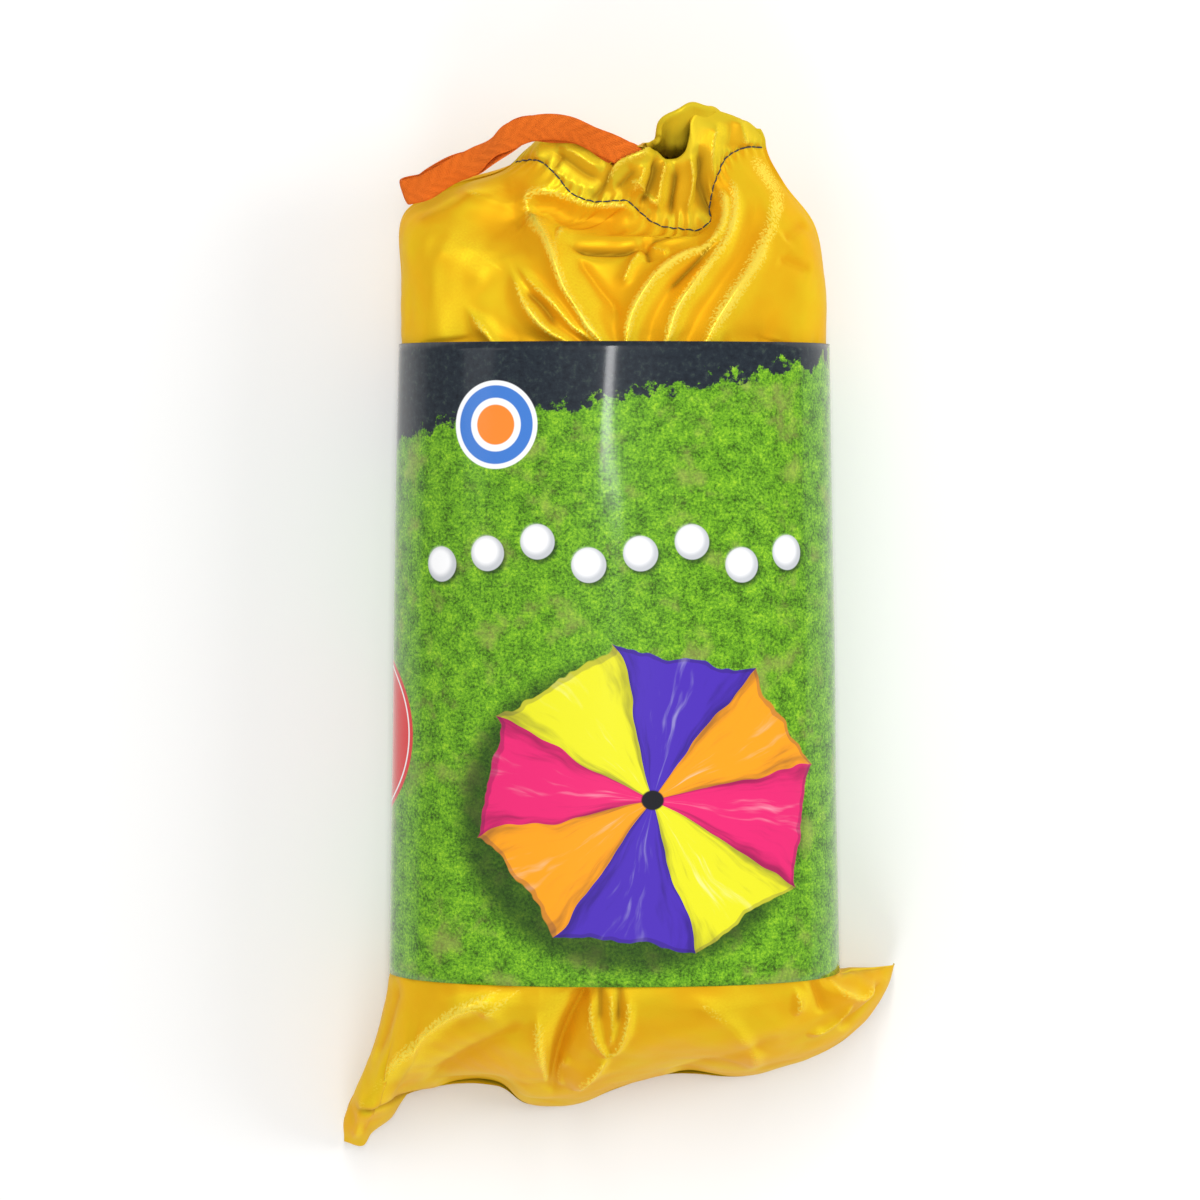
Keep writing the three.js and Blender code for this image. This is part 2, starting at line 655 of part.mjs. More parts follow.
// A handle: a loop of white tape whose sewn end meets the rim of the canopy.
function handleGeometry(index) {
  const outline = racetrack(new THREE.Shape(), HANDLE_LENGTH, HANDLE_HEIGHT);
  const inner = racetrack(
    new THREE.Shape(),
    HANDLE_LENGTH - 2 * HANDLE_TAPE,
    HANDLE_HEIGHT - 2 * HANDLE_TAPE,
  );
  const hole = new THREE.Path(inner.getPoints(6).map((p) => p.clone().setX(p.x + HANDLE_TAPE)));
  outline.holes.push(hole);
  const loop = new THREE.ExtrudeGeometry(outline, {
    depth: HANDLE_WIDTH,
    bevelEnabled: false,
    curveSegments: 6,
  });
  // The outline's length runs up the bag and its height runs up from the floor.
  const place = new THREE.Matrix4().makeBasis(
    new THREE.Vector3(0, 1, 0),
    new THREE.Vector3(0, 0, 1),
    new THREE.Vector3(1, 0, 0),
  );
  const sideways = (index % 2 ? 1 : -1) * HANDLE_STAGGER;
  place.setPosition(
    SLEEVE_CENTRE_X + sideways - HANDLE_WIDTH / 2,
    BUNDLE_TOP_Y + CLEARANCE,
    HANDLE_STACK_Z + index * (HANDLE_HEIGHT + CLEARANCE),
  );
  return loop.applyMatrix4(place);
}

// Assembly

const pack = new THREE.Group();

function addPiece(name, geometry, finish) {
  const mesh = new THREE.Mesh(geometry, new THREE.MeshStandardMaterial({ metalness: 0, ...MATERIALS[finish] }));
  mesh.name = name;
  pack.add(mesh);
}

addPiece('card_sleeve', sleeveGeometry(), 'card');
addPiece('bag_front', toGeometry(toSolid(panelGeometry(FRONT)).subtract(slotSolid())), 'satin');
addPiece('bag_back', panelGeometry(BACK), 'satin');
addPiece('drawstring_channel_run', channelTapeGeometry(), 'tape');
addPiece('drawstring_loop', loopTapeGeometry(), 'tape');
const GORE_COLOURS = ['violet', 'yellow', 'magenta', 'orange'];
goreGeometries().forEach((geometry, i) => {
  const colour = GORE_COLOURS[i % GORE_COLOURS.length];
  const turn = Math.floor(i / GORE_COLOURS.length) + 1;
  addPiece(`gore_${colour}_${turn}`, geometry, colour);
});
addPiece('crown_patch', crownGeometry(), 'black');
for (let i = 0; i < GORE_COUNT; i += 1) {
  addPiece(`handle_${i + 1}`, handleGeometry(i), 'white');
}

export default pack;
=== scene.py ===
"""A play parachute folded in its satin drawstring bag, with a glossy printed card sleeve round the bag.

Metres. The pack lies on its back: +X across it, +Y towards the mouth of the bag, +Z up.
Lines of cloth and folds are flat lists of coordinates in millimetres, which line() turns into points.
"""

import math
from functools import partialmethod

import bpy
import numpy as np
from bpy.props import FloatProperty, FloatVectorProperty, PointerProperty
from mathutils import Matrix, Vector


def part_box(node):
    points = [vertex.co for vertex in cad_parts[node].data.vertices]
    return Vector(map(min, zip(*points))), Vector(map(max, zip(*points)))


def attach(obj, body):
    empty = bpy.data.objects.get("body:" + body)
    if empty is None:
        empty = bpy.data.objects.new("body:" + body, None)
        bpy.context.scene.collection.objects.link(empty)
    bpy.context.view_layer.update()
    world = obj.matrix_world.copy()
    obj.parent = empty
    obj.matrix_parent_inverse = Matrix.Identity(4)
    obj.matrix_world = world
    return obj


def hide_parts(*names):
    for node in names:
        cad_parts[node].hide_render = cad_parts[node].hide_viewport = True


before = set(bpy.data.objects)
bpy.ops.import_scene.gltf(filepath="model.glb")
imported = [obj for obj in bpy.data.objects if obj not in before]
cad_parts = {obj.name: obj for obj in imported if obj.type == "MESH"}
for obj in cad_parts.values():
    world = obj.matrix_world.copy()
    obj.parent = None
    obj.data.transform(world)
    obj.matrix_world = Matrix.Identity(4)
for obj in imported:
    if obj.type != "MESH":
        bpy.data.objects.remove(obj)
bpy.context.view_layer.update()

bl_info = {
    "name": "Play parachute in its bag",
    "version": (1, 0, 0),
    "blender": (4, 5, 0),
    "location": "3D View > Sidebar > Parachute",
    "description": "Builds the bag, its printed sleeve, drawstring and folded canopy piece by piece",
    "category": "Add Mesh",
}

FRONT, BACK = 1, -1


def corners(node):
    """Low and high corner of a piece of the frame."""
    return tuple(np.array(corner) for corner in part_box(node))


# Pack and sleeve, from the frame
SLEEVE_LOW, SLEEVE_HIGH = corners("card_sleeve")
SLEEVE_BOTTOM_Y, SLEEVE_TOP_Y, SLEEVE_HEIGHT = SLEEVE_LOW[1], SLEEVE_HIGH[1], SLEEVE_HIGH[2]
SLEEVE_CENTRE_X = (SLEEVE_LOW[0] + SLEEVE_HIGH[0]) / 2
SLEEVE_BOTTOM_WIDTH = SLEEVE_HIGH[0] - SLEEVE_LOW[0]
SLEEVE_TOP_WIDTH = 0.1654
MIDDLE_Z = SLEEVE_HEIGHT / 2
ROUNDNESS = 2.3
FLAT_SPREAD = 0.006
CARD_THICKNESS = 0.0004
GLUE_LAP_X, GLUE_LAP_WIDTH = 0.022, 0.014
BAG_INSET, BAG_FLOOR = 0.0007, 0.0011

# Bag
EAR_TIP_X, EAR_BLUNTNESS, EAR_BEND = 0.1092, 0.88, 1.4
LEFT_EAR_DROP, RIGHT_EAR_DROP = 0.0758, 0.003
SEAM_HEIGHT = 0.008
NECK_X, NECK_HALF, NECK_Y = 0.0065, 0.04715, 0.185
CHANNEL_SPACE = 0.0018

# Drawstring
TAPE_WIDTH, TAPE_THICKNESS = 0.010, 0.0011

GORE_COLOURS = ("violet", "yellow", "magenta", "orange")


def length_size(name, description, default, low, high, precision=4):
    return FloatProperty(name=name, description=description, default=default, min=low, max=high,
                         unit="LENGTH", precision=precision)


def colour_choice(name, description, default):
    return FloatVectorProperty(name=name, description=description, default=default, min=0.0, max=1.0,
                               subtype="COLOR")


class ParachuteSizes(bpy.types.PropertyGroup):
    """Sizes that a user may change before building the pieces."""

    cloth_thickness: length_size("Cloth thickness", "Thickness of the bag's satin", 0.0003, 0.0001, 0.001, 5)
    fold_height: FloatProperty(
        name="Fold height", description="Height of the bag's folds, as a share of the normal one",
        default=1.0, min=0.0, max=1.5, subtype="FACTOR")
    stitch_length: length_size("Stitch length", "Length of one stitch on the channel", 0.0032, 0.001, 0.006)
    stitch_gap: length_size("Stitch gap", "Gap between two stitches", 0.0002, 0.0001, 0.003)
    gore_area: FloatProperty(
        name="Gore area", description="Area of one gore of the canopy before it is folded",
        default=0.88, min=0.3, max=1.2, precision=2)
    board_wave: length_size("Card waviness", "How far the card dips and swells", 0.0006, 0.0, 0.001)


class ParachuteColours(bpy.types.PropertyGroup):
    """Colours of the cloths, the tape and the print."""

    satin: colour_choice("Satin", "Yellow satin of the bag", (0.84, 0.49, 0.012))
    tape: colour_choice("Tape", "Orange drawstring tape", (1.0, 0.175, 0.02))
    thread: colour_choice("Thread", "Dark sewing thread on the channel", (0.012, 0.012, 0.022))
    violet: colour_choice("Violet", "Violet gores", (0.075, 0.03, 0.46))
    yellow: colour_choice("Yellow", "Yellow gores", (0.80, 0.78, 0.02))
    magenta: colour_choice("Magenta", "Magenta gores", (0.80, 0.022, 0.17))
    orange: colour_choice("Orange", "Orange gores", (0.93, 0.35, 0.012))
    grass: colour_choice("Grass", "Green ground of the printed sleeve", (0.12, 0.34, 0.012))


def sizes():
    return bpy.context.scene.parachute_sizes


def chosen(name):
    """The user's colour of that name, as a plain tuple."""
    return tuple(getattr(bpy.context.scene.parachute_colours, name))


# Lines, grids and meshes

def mm(value):
    """Millimetres in metres."""
    return np.asarray(value, float) * 0.001


def line(numbers, size=2):
    """Points in metres from a flat list of their coordinates in millimetres."""
    return mm(numbers).reshape(-1, size)


def unit(vectors):
    return vectors / np.maximum(np.linalg.norm(vectors, axis=-1, keepdims=True), 1e-12)


def stacked(*arrays):
    """Points from one array for each coordinate, spread over the same places."""
    return np.stack(np.broadcast_arrays(*arrays), axis=-1)


def between(wanted, known, rows):
    """Values of each column of rows, which stand at the known places, at the wanted places."""
    return np.stack([np.interp(wanted, known, column) for column in rows.T], axis=1)


def run_length(points, axis=0):
    """Lengths from the start along an axis of points, as a mean where the points are a grid."""
    steps = np.linalg.norm(np.diff(points, axis=axis), axis=-1)
    if steps.ndim > 1:
        steps = steps.mean(axis=1 - axis)
    return np.concatenate([[0], np.cumsum(steps)])


def lay_uv(mesh, uv):
    """A UV map in metres from one place for each vertex."""
    vertex = np.zeros(len(mesh.loops), np.int32)
    mesh.loops.foreach_get("vertex_index", vertex)
    layer = mesh.uv_layers.new(name="cloth")
    layer.data.foreach_set("uv", np.asarray(uv, np.float32).reshape(-1, 2)[vertex].ravel())


def linked(name, data):
    made = bpy.data.objects.new(name, data)
    bpy.context.scene.collection.objects.link(made)
    return made


def new_object(name, vertices, faces, uv):
    """A smooth object at the origin whose place is in its mesh."""
    mesh = bpy.data.meshes.new(name)
    mesh.from_pydata(np.reshape(vertices, (-1, 3)).tolist(), [], [tuple(face) for face in faces])
    mesh.update()
    lay_uv(mesh, uv)
    mesh.polygons.foreach_set("use_smooth", [True] * len(mesh.polygons))
    return linked(name, mesh)


def grid_faces(rows, columns, start=0, wrap=False, flip=False):
    """Quads over a grid of points, facing along columns x rows, or the other way when flipped."""
    across = np.arange(columns if wrap else columns - 1)
    up = np.arange(rows - 1)[:, None]
    a = start + up * columns + across
    b = start + up * columns + (across + 1) % columns
    quads = np.stack([a, b, b + columns, a + columns], axis=-1).reshape(-1, 4)
    return quads[:, ::-1] if flip else quads


def tube_faces(rows, columns, start=0):
    """Faces of a closed tube of rows rings, with a cap at each end."""
    ring = list(range(start, start + columns))
    last = [index + (rows - 1) * columns for index in ring]
    return [*grid_faces(rows, columns, start, wrap=True).tolist(), ring[::-1], last]


def grid_normals(points):
    """Unit normals of a grid of points, facing along columns x rows."""
    return unit(np.cross(np.gradient(points, axis=1), np.gradient(points, axis=0)))


def recalculate_outward(made):
    """Turns every face of a closed piece outwards."""
    bpy.ops.object.select_all(action="DESELECT")
    bpy.context.view_layer.objects.active = made
    made.select_set(True)
    bpy.ops.object.mode_set(mode="EDIT")
    bpy.ops.mesh.select_all(action="SELECT")
    bpy.ops.mesh.normals_make_consistent(inside=False)
    bpy.ops.object.mode_set(mode="OBJECT")
    made.select_set(False)
    return made


def shell_object(name, outer, inner, uv):
    """A thin closed wall between two grids of points."""
    rows, columns = outer.shape[:2]
    count = rows * columns
    index = np.arange(count).reshape(rows, columns)
    rim = np.concatenate([index[0], index[1:, -1], index[-1, -2::-1], index[-2:0:-1, 0]])
    after = np.roll(rim, -1)
    faces = [grid_faces(rows, columns), grid_faces(rows, columns, count, flip=True),
             np.stack([rim, rim + count, after + count, after], axis=-1)]
    return recalculate_outward(new_object(name, [outer, inner], np.concatenate(faces), [uv, uv]))


def curve_through(points, stations):
    """A smooth curve through points along axis 0, at stations in spans. Further axes are carried along."""
    points = np.asarray(points, float)
    steps = np.linalg.norm(np.diff(points, axis=0), axis=-1, keepdims=True) + 1e-9
    slopes = np.diff(points, axis=0) / steps
    inner = (slopes[1:] * steps[:-1] + slopes[:-1] * steps[1:]) / (steps[1:] + steps[:-1])
    slopes = np.concatenate([slopes[:1], inner, slopes[-1:]])
    span = np.minimum(np.floor(stations).astype(int), len(points) - 2)
    share = (np.asarray(stations, float) - span).reshape((-1,) + (1,) * (points.ndim - 1))
    leave, arrive = slopes[span] * steps[span], slopes[span + 1] * steps[span]
    return (points[span] * (2 * share ** 3 - 3 * share ** 2 + 1)
            + leave * (share ** 3 - 2 * share ** 2 + share)
            + points[span + 1] * (3 * share ** 2 - 2 * share ** 3) + arrive * (share ** 3 - share ** 2))


def even_curve(points, count):
    """count points at equal distances along the smooth curve through points."""
    fine = curve_through(points, np.linspace(0, len(points) - 1, 60 * len(points)))
    length = run_length(fine)
    return between(np.linspace(0, length[-1], count), length, fine)


def smooth_step(low, high, value):
    share = np.clip((value - low) / (high - low), 0, 1)
    return share * share * (3 - 2 * share)


def bell(value):
    return np.exp(-value ** 2)


def faded(start, end, share):
    """1 along a line, running out to 0 over the shares start and end of it."""
    return smooth_step(0, start, share) * smooth_step(0, end, 1 - share)


def ripple(points, wavelength, seed, waves=9):
    """A smooth random height from -1 to 1 over points, made of crossing waves."""
    chance = np.random.default_rng(seed)
    height = np.zeros(points.shape[:-1])
    for _ in range(waves):
        direction = chance.normal(size=points.shape[-1])
        direction /= np.linalg.norm(direction)
        pitch = wavelength * chance.uniform(0.6, 1.7)
        height += np.sin(points @ direction * 2 * math.pi / pitch + chance.uniform(0, 2 * math.pi))
    return height / math.sqrt(waves) / 1.6


# The bag's rings: closed curves round the pack, each with a front and a back half between the side seams

def rounded_cosine(angle, power):
    return np.sign(np.cos(angle)) * np.abs(np.cos(angle)) ** power


def ring_line(ring, side, turns):
    """Points of one half of a ring, for turns from 0 at the left seam to 1 at the right one."""
    if "line" in ring:
        return between(turns, np.linspace(0, 1, 400), even_curve(line(ring["line"][side], 3), 400))
    angle = math.pi * turns
    share = (1 - rounded_cosine(angle, 2 / ROUNDNESS)) / 2
    swell = np.sin(angle) ** (2 / ROUNDNESS)
    left, right, z = ring["left"], ring["right"], ring["z"]
    x = left[0] + (right[0] - left[0]) * share
    crest_y, crest_z = ring["front"] if side == FRONT else ring["back"]
    if "seam" in ring:
        y = ring["seam"](share)
    else:
        y = left[1] + (right[1] - left[1]) * share + (crest_y - (left[1] + right[1]) / 2) * swell
    if side == FRONT:
        return stacked(x, y, z + (crest_z - z) * swell)
    spread = FLAT_SPREAD * (z - crest_z) / MIDDLE_Z
    return stacked(x, y, np.maximum(z + (crest_z - spread - z) * swell, crest_z))


def sleeve_half(along):
    """Half width of the sleeve at a share of its length from its bottom."""
    return (SLEEVE_BOTTOM_WIDTH + (SLEEVE_TOP_WIDTH - SLEEVE_BOTTOM_WIDTH) * along) / 2


def sleeve_ring(y, inset, floor):
    half = sleeve_half((y - SLEEVE_BOTTOM_Y) / (SLEEVE_TOP_Y - SLEEVE_BOTTOM_Y)) - inset
    return {"left": (SLEEVE_CENTRE_X - half, y), "right": (SLEEVE_CENTRE_X + half, y), "z": MIDDLE_Z,
            "front": (y, SLEEVE_HEIGHT - inset), "back": (y, floor)}


# Share across the bag and drop of the bottom seam, from the left ear's tip to the right one
SEAM_SHAPE = [
    (0, 0.975), (0.0275, 1), (0.05, 0.922), (0.076, 0.855), (0.131, 0.7), (0.202, 0.66), (0.273, 0.666),
    (0.345, 0.772), (0.405, 0.772), (0.5, 0.68), (0.61, 0.6), (0.706, 0.618), (0.829, 0.54), (0.94, 0.335),
    (0.967, 0.215), (1, 0),
]


def seam_y(share):
    seam = curve_through(SEAM_SHAPE, np.linspace(0, len(SEAM_SHAPE) - 1, 400))
    drop = np.interp(share, seam[:, 0], seam[:, 1])
    return SLEEVE_BOTTOM_Y - RIGHT_EAR_DROP - (LEFT_EAR_DROP - RIGHT_EAR_DROP) * drop


def bottom_ring(reach, z, front_z, back_z):
    """A ring below the sleeve: reach runs from 0 at the sleeve to 1 at the bottom seam."""
    start = sleeve_ring(SLEEVE_BOTTOM_Y, BAG_INSET, BAG_FLOOR)
    spread = min(1, reach / EAR_BLUNTNESS) ** EAR_BEND
    left, right = (start[end][0] + (tip - start[end][0]) * spread
                   for end, tip in (("left", -EAR_TIP_X), ("right", EAR_TIP_X)))
    return {"left": (left, 0), "right": (right, 0), "z": z, "front": (0, front_z), "back": (0, back_z),
            "seam": lambda share: SLEEVE_BOTTOM_Y + (seam_y(share) - SLEEVE_BOTTOM_Y) * reach}


# Cloth lines at the drawstring channel, from the left seam to the right one
STITCH_LINE = {"line": {
    FRONT: [-40.6, 182.4, 61, -36.5, 182.6, 70, -29, 181, 77, -24.5, 177, 80, -18.5, 169.5, 83, -10, 167,
        85.5, -3, 167, 86, 3, 166.8, 86, 8, 163.5, 85, 14, 160.5, 84.5, 22, 160, 85, 30, 160.6, 84.5, 33.5,
        166.5, 82.5, 37, 175.5, 80, 39.5, 182, 77, 46, 186.8, 71, 56, 188, 61],
    BACK: [-40.6, 182.4, 61, -37, 183.6, 50, -26, 183.4, 42, -10, 183.4, 38.5, 8, 186, 38, 26, 190.5, 39, 42,
        190.5, 45, 51.6, 189, 53, 56, 188, 61],
}}
MIDDLE_LINE = {"line": {
    FRONT: [-37.4, 185.6, 63, -32.5, 186.2, 72.5, -26, 185, 78, -20, 180.5, 81.5, -12, 176.5, 83.5, -3, 176,
        84, 4, 176.5, 85, 9, 174, 84.5, 15, 171, 83, 22, 170.8, 83, 27.4, 173, 82.5, 31, 180, 81.5, 33.6,
        188, 80.5, 39, 192.4, 77.5, 46, 193.4, 72, 55.4, 191.6, 62],
    BACK: [-37.4, 185.6, 62, -31, 187, 51, -20, 187.4, 46, -6, 187.4, 46, 6, 187.6, 51, 13, 186.4, 60, 20,
        187.4, 66, 27, 190, 67, 34, 193, 63, 40, 195.4, 58, 48, 195, 58, 55.4, 191.6, 62],
}}
EDGE_LINE = {"line": {
    FRONT: [-34, 188.4, 65, -29, 190.4, 73, -24, 190.2, 78, -19, 188.8, 80, -13, 186.4, 81.5, -6, 184.2, 82,
        0, 184.8, 83.6, 5, 186.5, 84.5, 10, 186, 83.5, 15, 183, 81, 20, 181.6, 80, 24, 184, 80.5, 26.2, 190,
        81.5, 27, 196, 82, 30, 199.8, 81, 36, 200, 78.5, 43, 198.6, 74, 49.4, 196.6, 68, 53.6, 194.4, 62.5],
    BACK: [-34, 188.4, 64, -28, 189.6, 57, -18, 190.4, 55, -6, 189.6, 57, 3, 187.4, 62, 8, 187, 68, 11.2,
        188.8, 74, 13, 192, 79.6, 15.4, 196.2, 82.8, 19, 199.6, 84, 23.4, 201.9, 84.5, 28.6, 203, 83, 34,
        202, 79, 40, 200, 73, 47, 197.4, 67, 53.6, 194.4, 62.5],
}}


def bag_rings():
    """The bag from its bottom seam up to the edge of its mouth."""
    left, right = (SLEEVE_CENTRE_X + side * (SLEEVE_TOP_WIDTH / 2 - BAG_INSET) for side in (-1, 1))
    neck_right = NECK_X + NECK_HALF
    under_card = [sleeve_ring(SLEEVE_BOTTOM_Y + (SLEEVE_TOP_Y - SLEEVE_BOTTOM_Y) * share,
                              2.6 * BAG_INSET, 1.5 * BAG_FLOOR) for share in (0.06, 0.33, 0.66, 0.94)]
    return [
        bottom_ring(1, SEAM_HEIGHT, SEAM_HEIGHT, SEAM_HEIGHT),
        bottom_ring(0.86, 0.016, 0.040, 0.0004),
        bottom_ring(0.64, 0.029, 0.072, 0.0004),
        bottom_ring(0.34, 0.042, 0.096, 0.0006),
        sleeve_ring(SLEEVE_BOTTOM_Y, BAG_INSET, BAG_FLOOR),
        *under_card,
        sleeve_ring(SLEEVE_TOP_Y, 2.2 * BAG_INSET, BAG_FLOOR),
        {"left": (left + 0.0002, SLEEVE_TOP_Y + 0.025), "right": (right - 0.0015, SLEEVE_TOP_Y + 0.027),
         "z": MIDDLE_Z, "front": (SLEEVE_TOP_Y + 0.018, SLEEVE_HEIGHT - 0.0032),
         "back": (SLEEVE_TOP_Y + 0.027, 0.003)},
        {"left": (left + 0.002, NECK_Y - 0.021), "right": (neck_right + 0.021, NECK_Y - 0.026),
         "z": MIDDLE_Z + 0.002, "front": (SLEEVE_TOP_Y + 0.033, SLEEVE_HEIGHT - 0.008),
         "back": (NECK_Y - 0.022, 0.009)},
        {"left": (left + 0.015, NECK_Y - 0.013), "right": (neck_right + 0.009, NECK_Y - 0.010),
         "z": MIDDLE_Z + 0.005, "front": (SLEEVE_TOP_Y + 0.043, SLEEVE_HEIGHT - 0.0155),
         "back": (NECK_Y - 0.008, 0.020)},
        STITCH_LINE,
        MIDDLE_LINE,
        EDGE_LINE,
    ]


STITCH_RING = 13
SPAN_ROWS = [24, 25, 26, 22, 12, 11, 11, 14, 10, 28, 26, 18, 18, 15, 15]
STITCH_ROW = sum(SPAN_ROWS[:STITCH_RING])
COLUMNS = {FRONT: 297, BACK: 201}
MIDDLE_CROWDING = 0.3
HEM_FOLD_ROWS = 5

# Ridges of the front above the sleeve: height as a share of the sag, width to the left and to the right
# of the crest, radius of the crest, share of the line over which the upper end runs out, and the line seen
# from above, towards the mouth.
SHOULDER_SAG = 0.0058
RIDGE_CROWDING = 5
RIDGE_START = 0.04
SHOULDER_RIDGES = [
    (1.22, 2.6, 5, 0.8, 0.1, [-5.4, 109, -7.7, 113.5, -12.1, 118.5, -16.5, 125.6, -21, 132.8, -24.2, 141.5,
     -28.6, 153.1, -33, 160.2, -34.6, 165.2]),
    (0.62, 2.6, 3.4, 0.7, 0.3, [-24, 138, -24.2, 149.9, -22.6, 157, -20, 163]),
    (0.98, 2.8, 3.4, 1, 0.6, [-16, 108, -20.4, 113, -25.4, 115.6, -32.5, 122.3, -40.6, 137, -44, 146]),
    (0.92, 2.2, 3.4, 0.7, 0.55, [-7, 109, -11, 113.5, -17.6, 118.5, -25.3, 127.3, -37.6, 140, -41, 147]),
    (0.8, 4, 2.6, 1, 0.75, [-46, 109, -49, 113.6, -56.1, 121.8, -64, 131]),
    (1.1, 3.4, 5.5, 0.7, 0.1, [1.6, 108, 2.7, 117, 3.6, 121.3, 8.9, 132, 17.9, 142.2, 25.6, 146.6, 31.6,
     148.3, 36.7, 154, 39.7, 162.9, 38.9, 170, 36.9, 174]),
    (1.04, 4.2, 6, 0.8, 0.1, [15.4, 108, 17.3, 112.3, 20.8, 124.2, 28.6, 136.1, 35.4, 145.2, 40.6, 152.8,
     43.4, 161.7, 43.2, 172, 41, 178]),
    (1.16, 4.4, 12, 1, 0.12, [29.4, 108, 31.6, 111.7, 35.7, 119.5, 45.3, 134.4, 51.9, 145.1, 56.1, 154.6,
     59.1, 163, 60.4, 167.1, 56.7, 176.7, 51.9, 182.6, 48, 187]),
    (0.72, 12, 10, 4, 0.3, [-74, 112, -76, 136, -70, 158, -56, 170]),
    (0.74, 10, 10, 4, 0.3, [66, 110, 72, 130, 74, 150, 68, 164]),
]
# Single folds: height, width to the left and right of the crest, radius of the crest, the line and, where
# they aren't the usual ones, the shares of it over which its ends run out. A negative height is a valley.
UPPER_FOLDS = [
    (4.2, 3.4, 2, 0.9, [-33, 159.4, -35.4, 164, -34.8, 168, -31, 169.4, -23.3, 168.8, -17.7, 167.2, -7.7,
     165.4, -1.1, 165.4, 4.4, 163.6, 9, 159.6], (0.12, 0.24)),
    (-2.6, 2.4, 2, 0.8, [-29, 164.4, -16, 162.4, -4, 161.4, 4, 159.4]),
    (-3.6, 1, 1.5, 0.3, [-20, 152.6, -14, 151.4, -7.5, 151, 3, 150.6, 9.8, 152.5]),
    (-2.6, 0.9, 1.2, 0.3, [9.8, 152.5, 13, 154.4, 19, 156, 26.3, 157.4, 32, 158]),
    (2.4, 1.4, 1.4, 0.4, [0.5, 134, 2.2, 138.4, 4.4, 143.8, 8.8, 151]),
    (-2, 0.8, 0.8, 0.3, [11.6, 144, 10.4, 149, 9.8, 152]),
    (2, 1.2, 1.2, 0.4, [10.4, 152, 14, 149.4, 19, 147.8]),
    (-2.6, 2, 1.6, 0.6, [-0.8, 118, -1.1, 123.5, -9, 136, -17.6, 149.4]),
    (-2.4, 1, 0.9, 0.3, [17, 131.4, 22.6, 137.3, 31.6, 146.6, 37.4, 153]),
    (-1.8, 1.4, 1.2, 0.5, [-24, 118, -30, 127, -37, 133]),
    (-1.4, 2, 2.2, 1, [60, 146, 68, 142, 73.5, 140]),
    (-1.5, 2.6, 2.6, 1, [62, 152, 68, 157, 72, 160]),
    (1.4, 2.4, 2.4, 1, [-62, 172, -52, 168, -42, 166, -36, 168]),
    (-1.3, 2.4, 2.4, 1.2, [-44, 177, -40, 168, -38, 158]),
    (1, 5, 5, 3, [-72, 150, -62, 144, -52, 134]),
]
CHANNEL_FOLDS = [
    (5, 1.3, 4.6, 0.5, [-6.4, 170, -4, 175.6, -0.8, 179.6, 3.4, 182.2, 9.4, 185.4, 12.4, 189]),
    (-1.6, 1.4, 1.4, 0.5, [-2.6, 171, 1.6, 174.4, 6.4, 178.4]),
    (2, 1.4, 1.8, 0.5, [4, 168, 7.4, 174, 9.4, 180.6]),
    (-3.4, 1.2, 1.6, 0.5, [8, 164.2, 11, 169.6, 13, 175.4, 13.4, 184]),
    (3, 1.4, 1.8, 0.4, [1.6, 175, 8, 171.6, 13.5, 166, 16.6, 163.6]),
    (3, 1.4, 1.4, 0.5, [14.6, 163.5, 15.2, 170, 16.2, 176, 17.4, 183]),
    (-2.6, 1.2, 1.3, 0.5, [18.6, 160.4, 19.4, 168, 20.2, 175, 20.6, 181.5]),
    (2.6, 1.5, 1.8, 0.5, [25, 161.5, 27, 168, 27.6, 176, 26.5, 184]),
    (-2.8, 1.4, 1.6, 0.5, [31.3, 160.5, 31.9, 169, 30.6, 177, 29.8, 188]),
    (2, 2, 2.4, 0.8, [36.2, 173, 34.4, 181, 35, 190, 37.4, 197]),
    (-1.5, 2, 2, 0.8, [41.5, 185, 41.6, 191, 43, 198]),
    (1.8, 2.4, 2.4, 0.8, [46.5, 187, 46, 192, 44.4, 198]),
    (1.5, 2, 3, 0.8, [-30, 181, -22, 176, -14, 172, -8, 171.6, -3, 173]),
    (-1.6, 1.6, 1.6, 0.5, [-26, 186, -19, 181, -12, 176.6, -6, 175]),
    (-2, 1.2, 1.4, 0.4, [-14, 167.6, -9.6, 169.6, -5.2, 174, -2.4, 180]),
    (1.6, 1.6, 2.4, 0.6, [-24, 188, -17, 184.4, -10, 180, -5, 178.6]),
    (1.5, 1.6, 1.6, 0.6, [-31, 181, -30, 185, -28, 190]),
    (-1.2, 1.2, 1.2, 0.4, [-25, 178, -23.4, 181, -22, 185]),
]
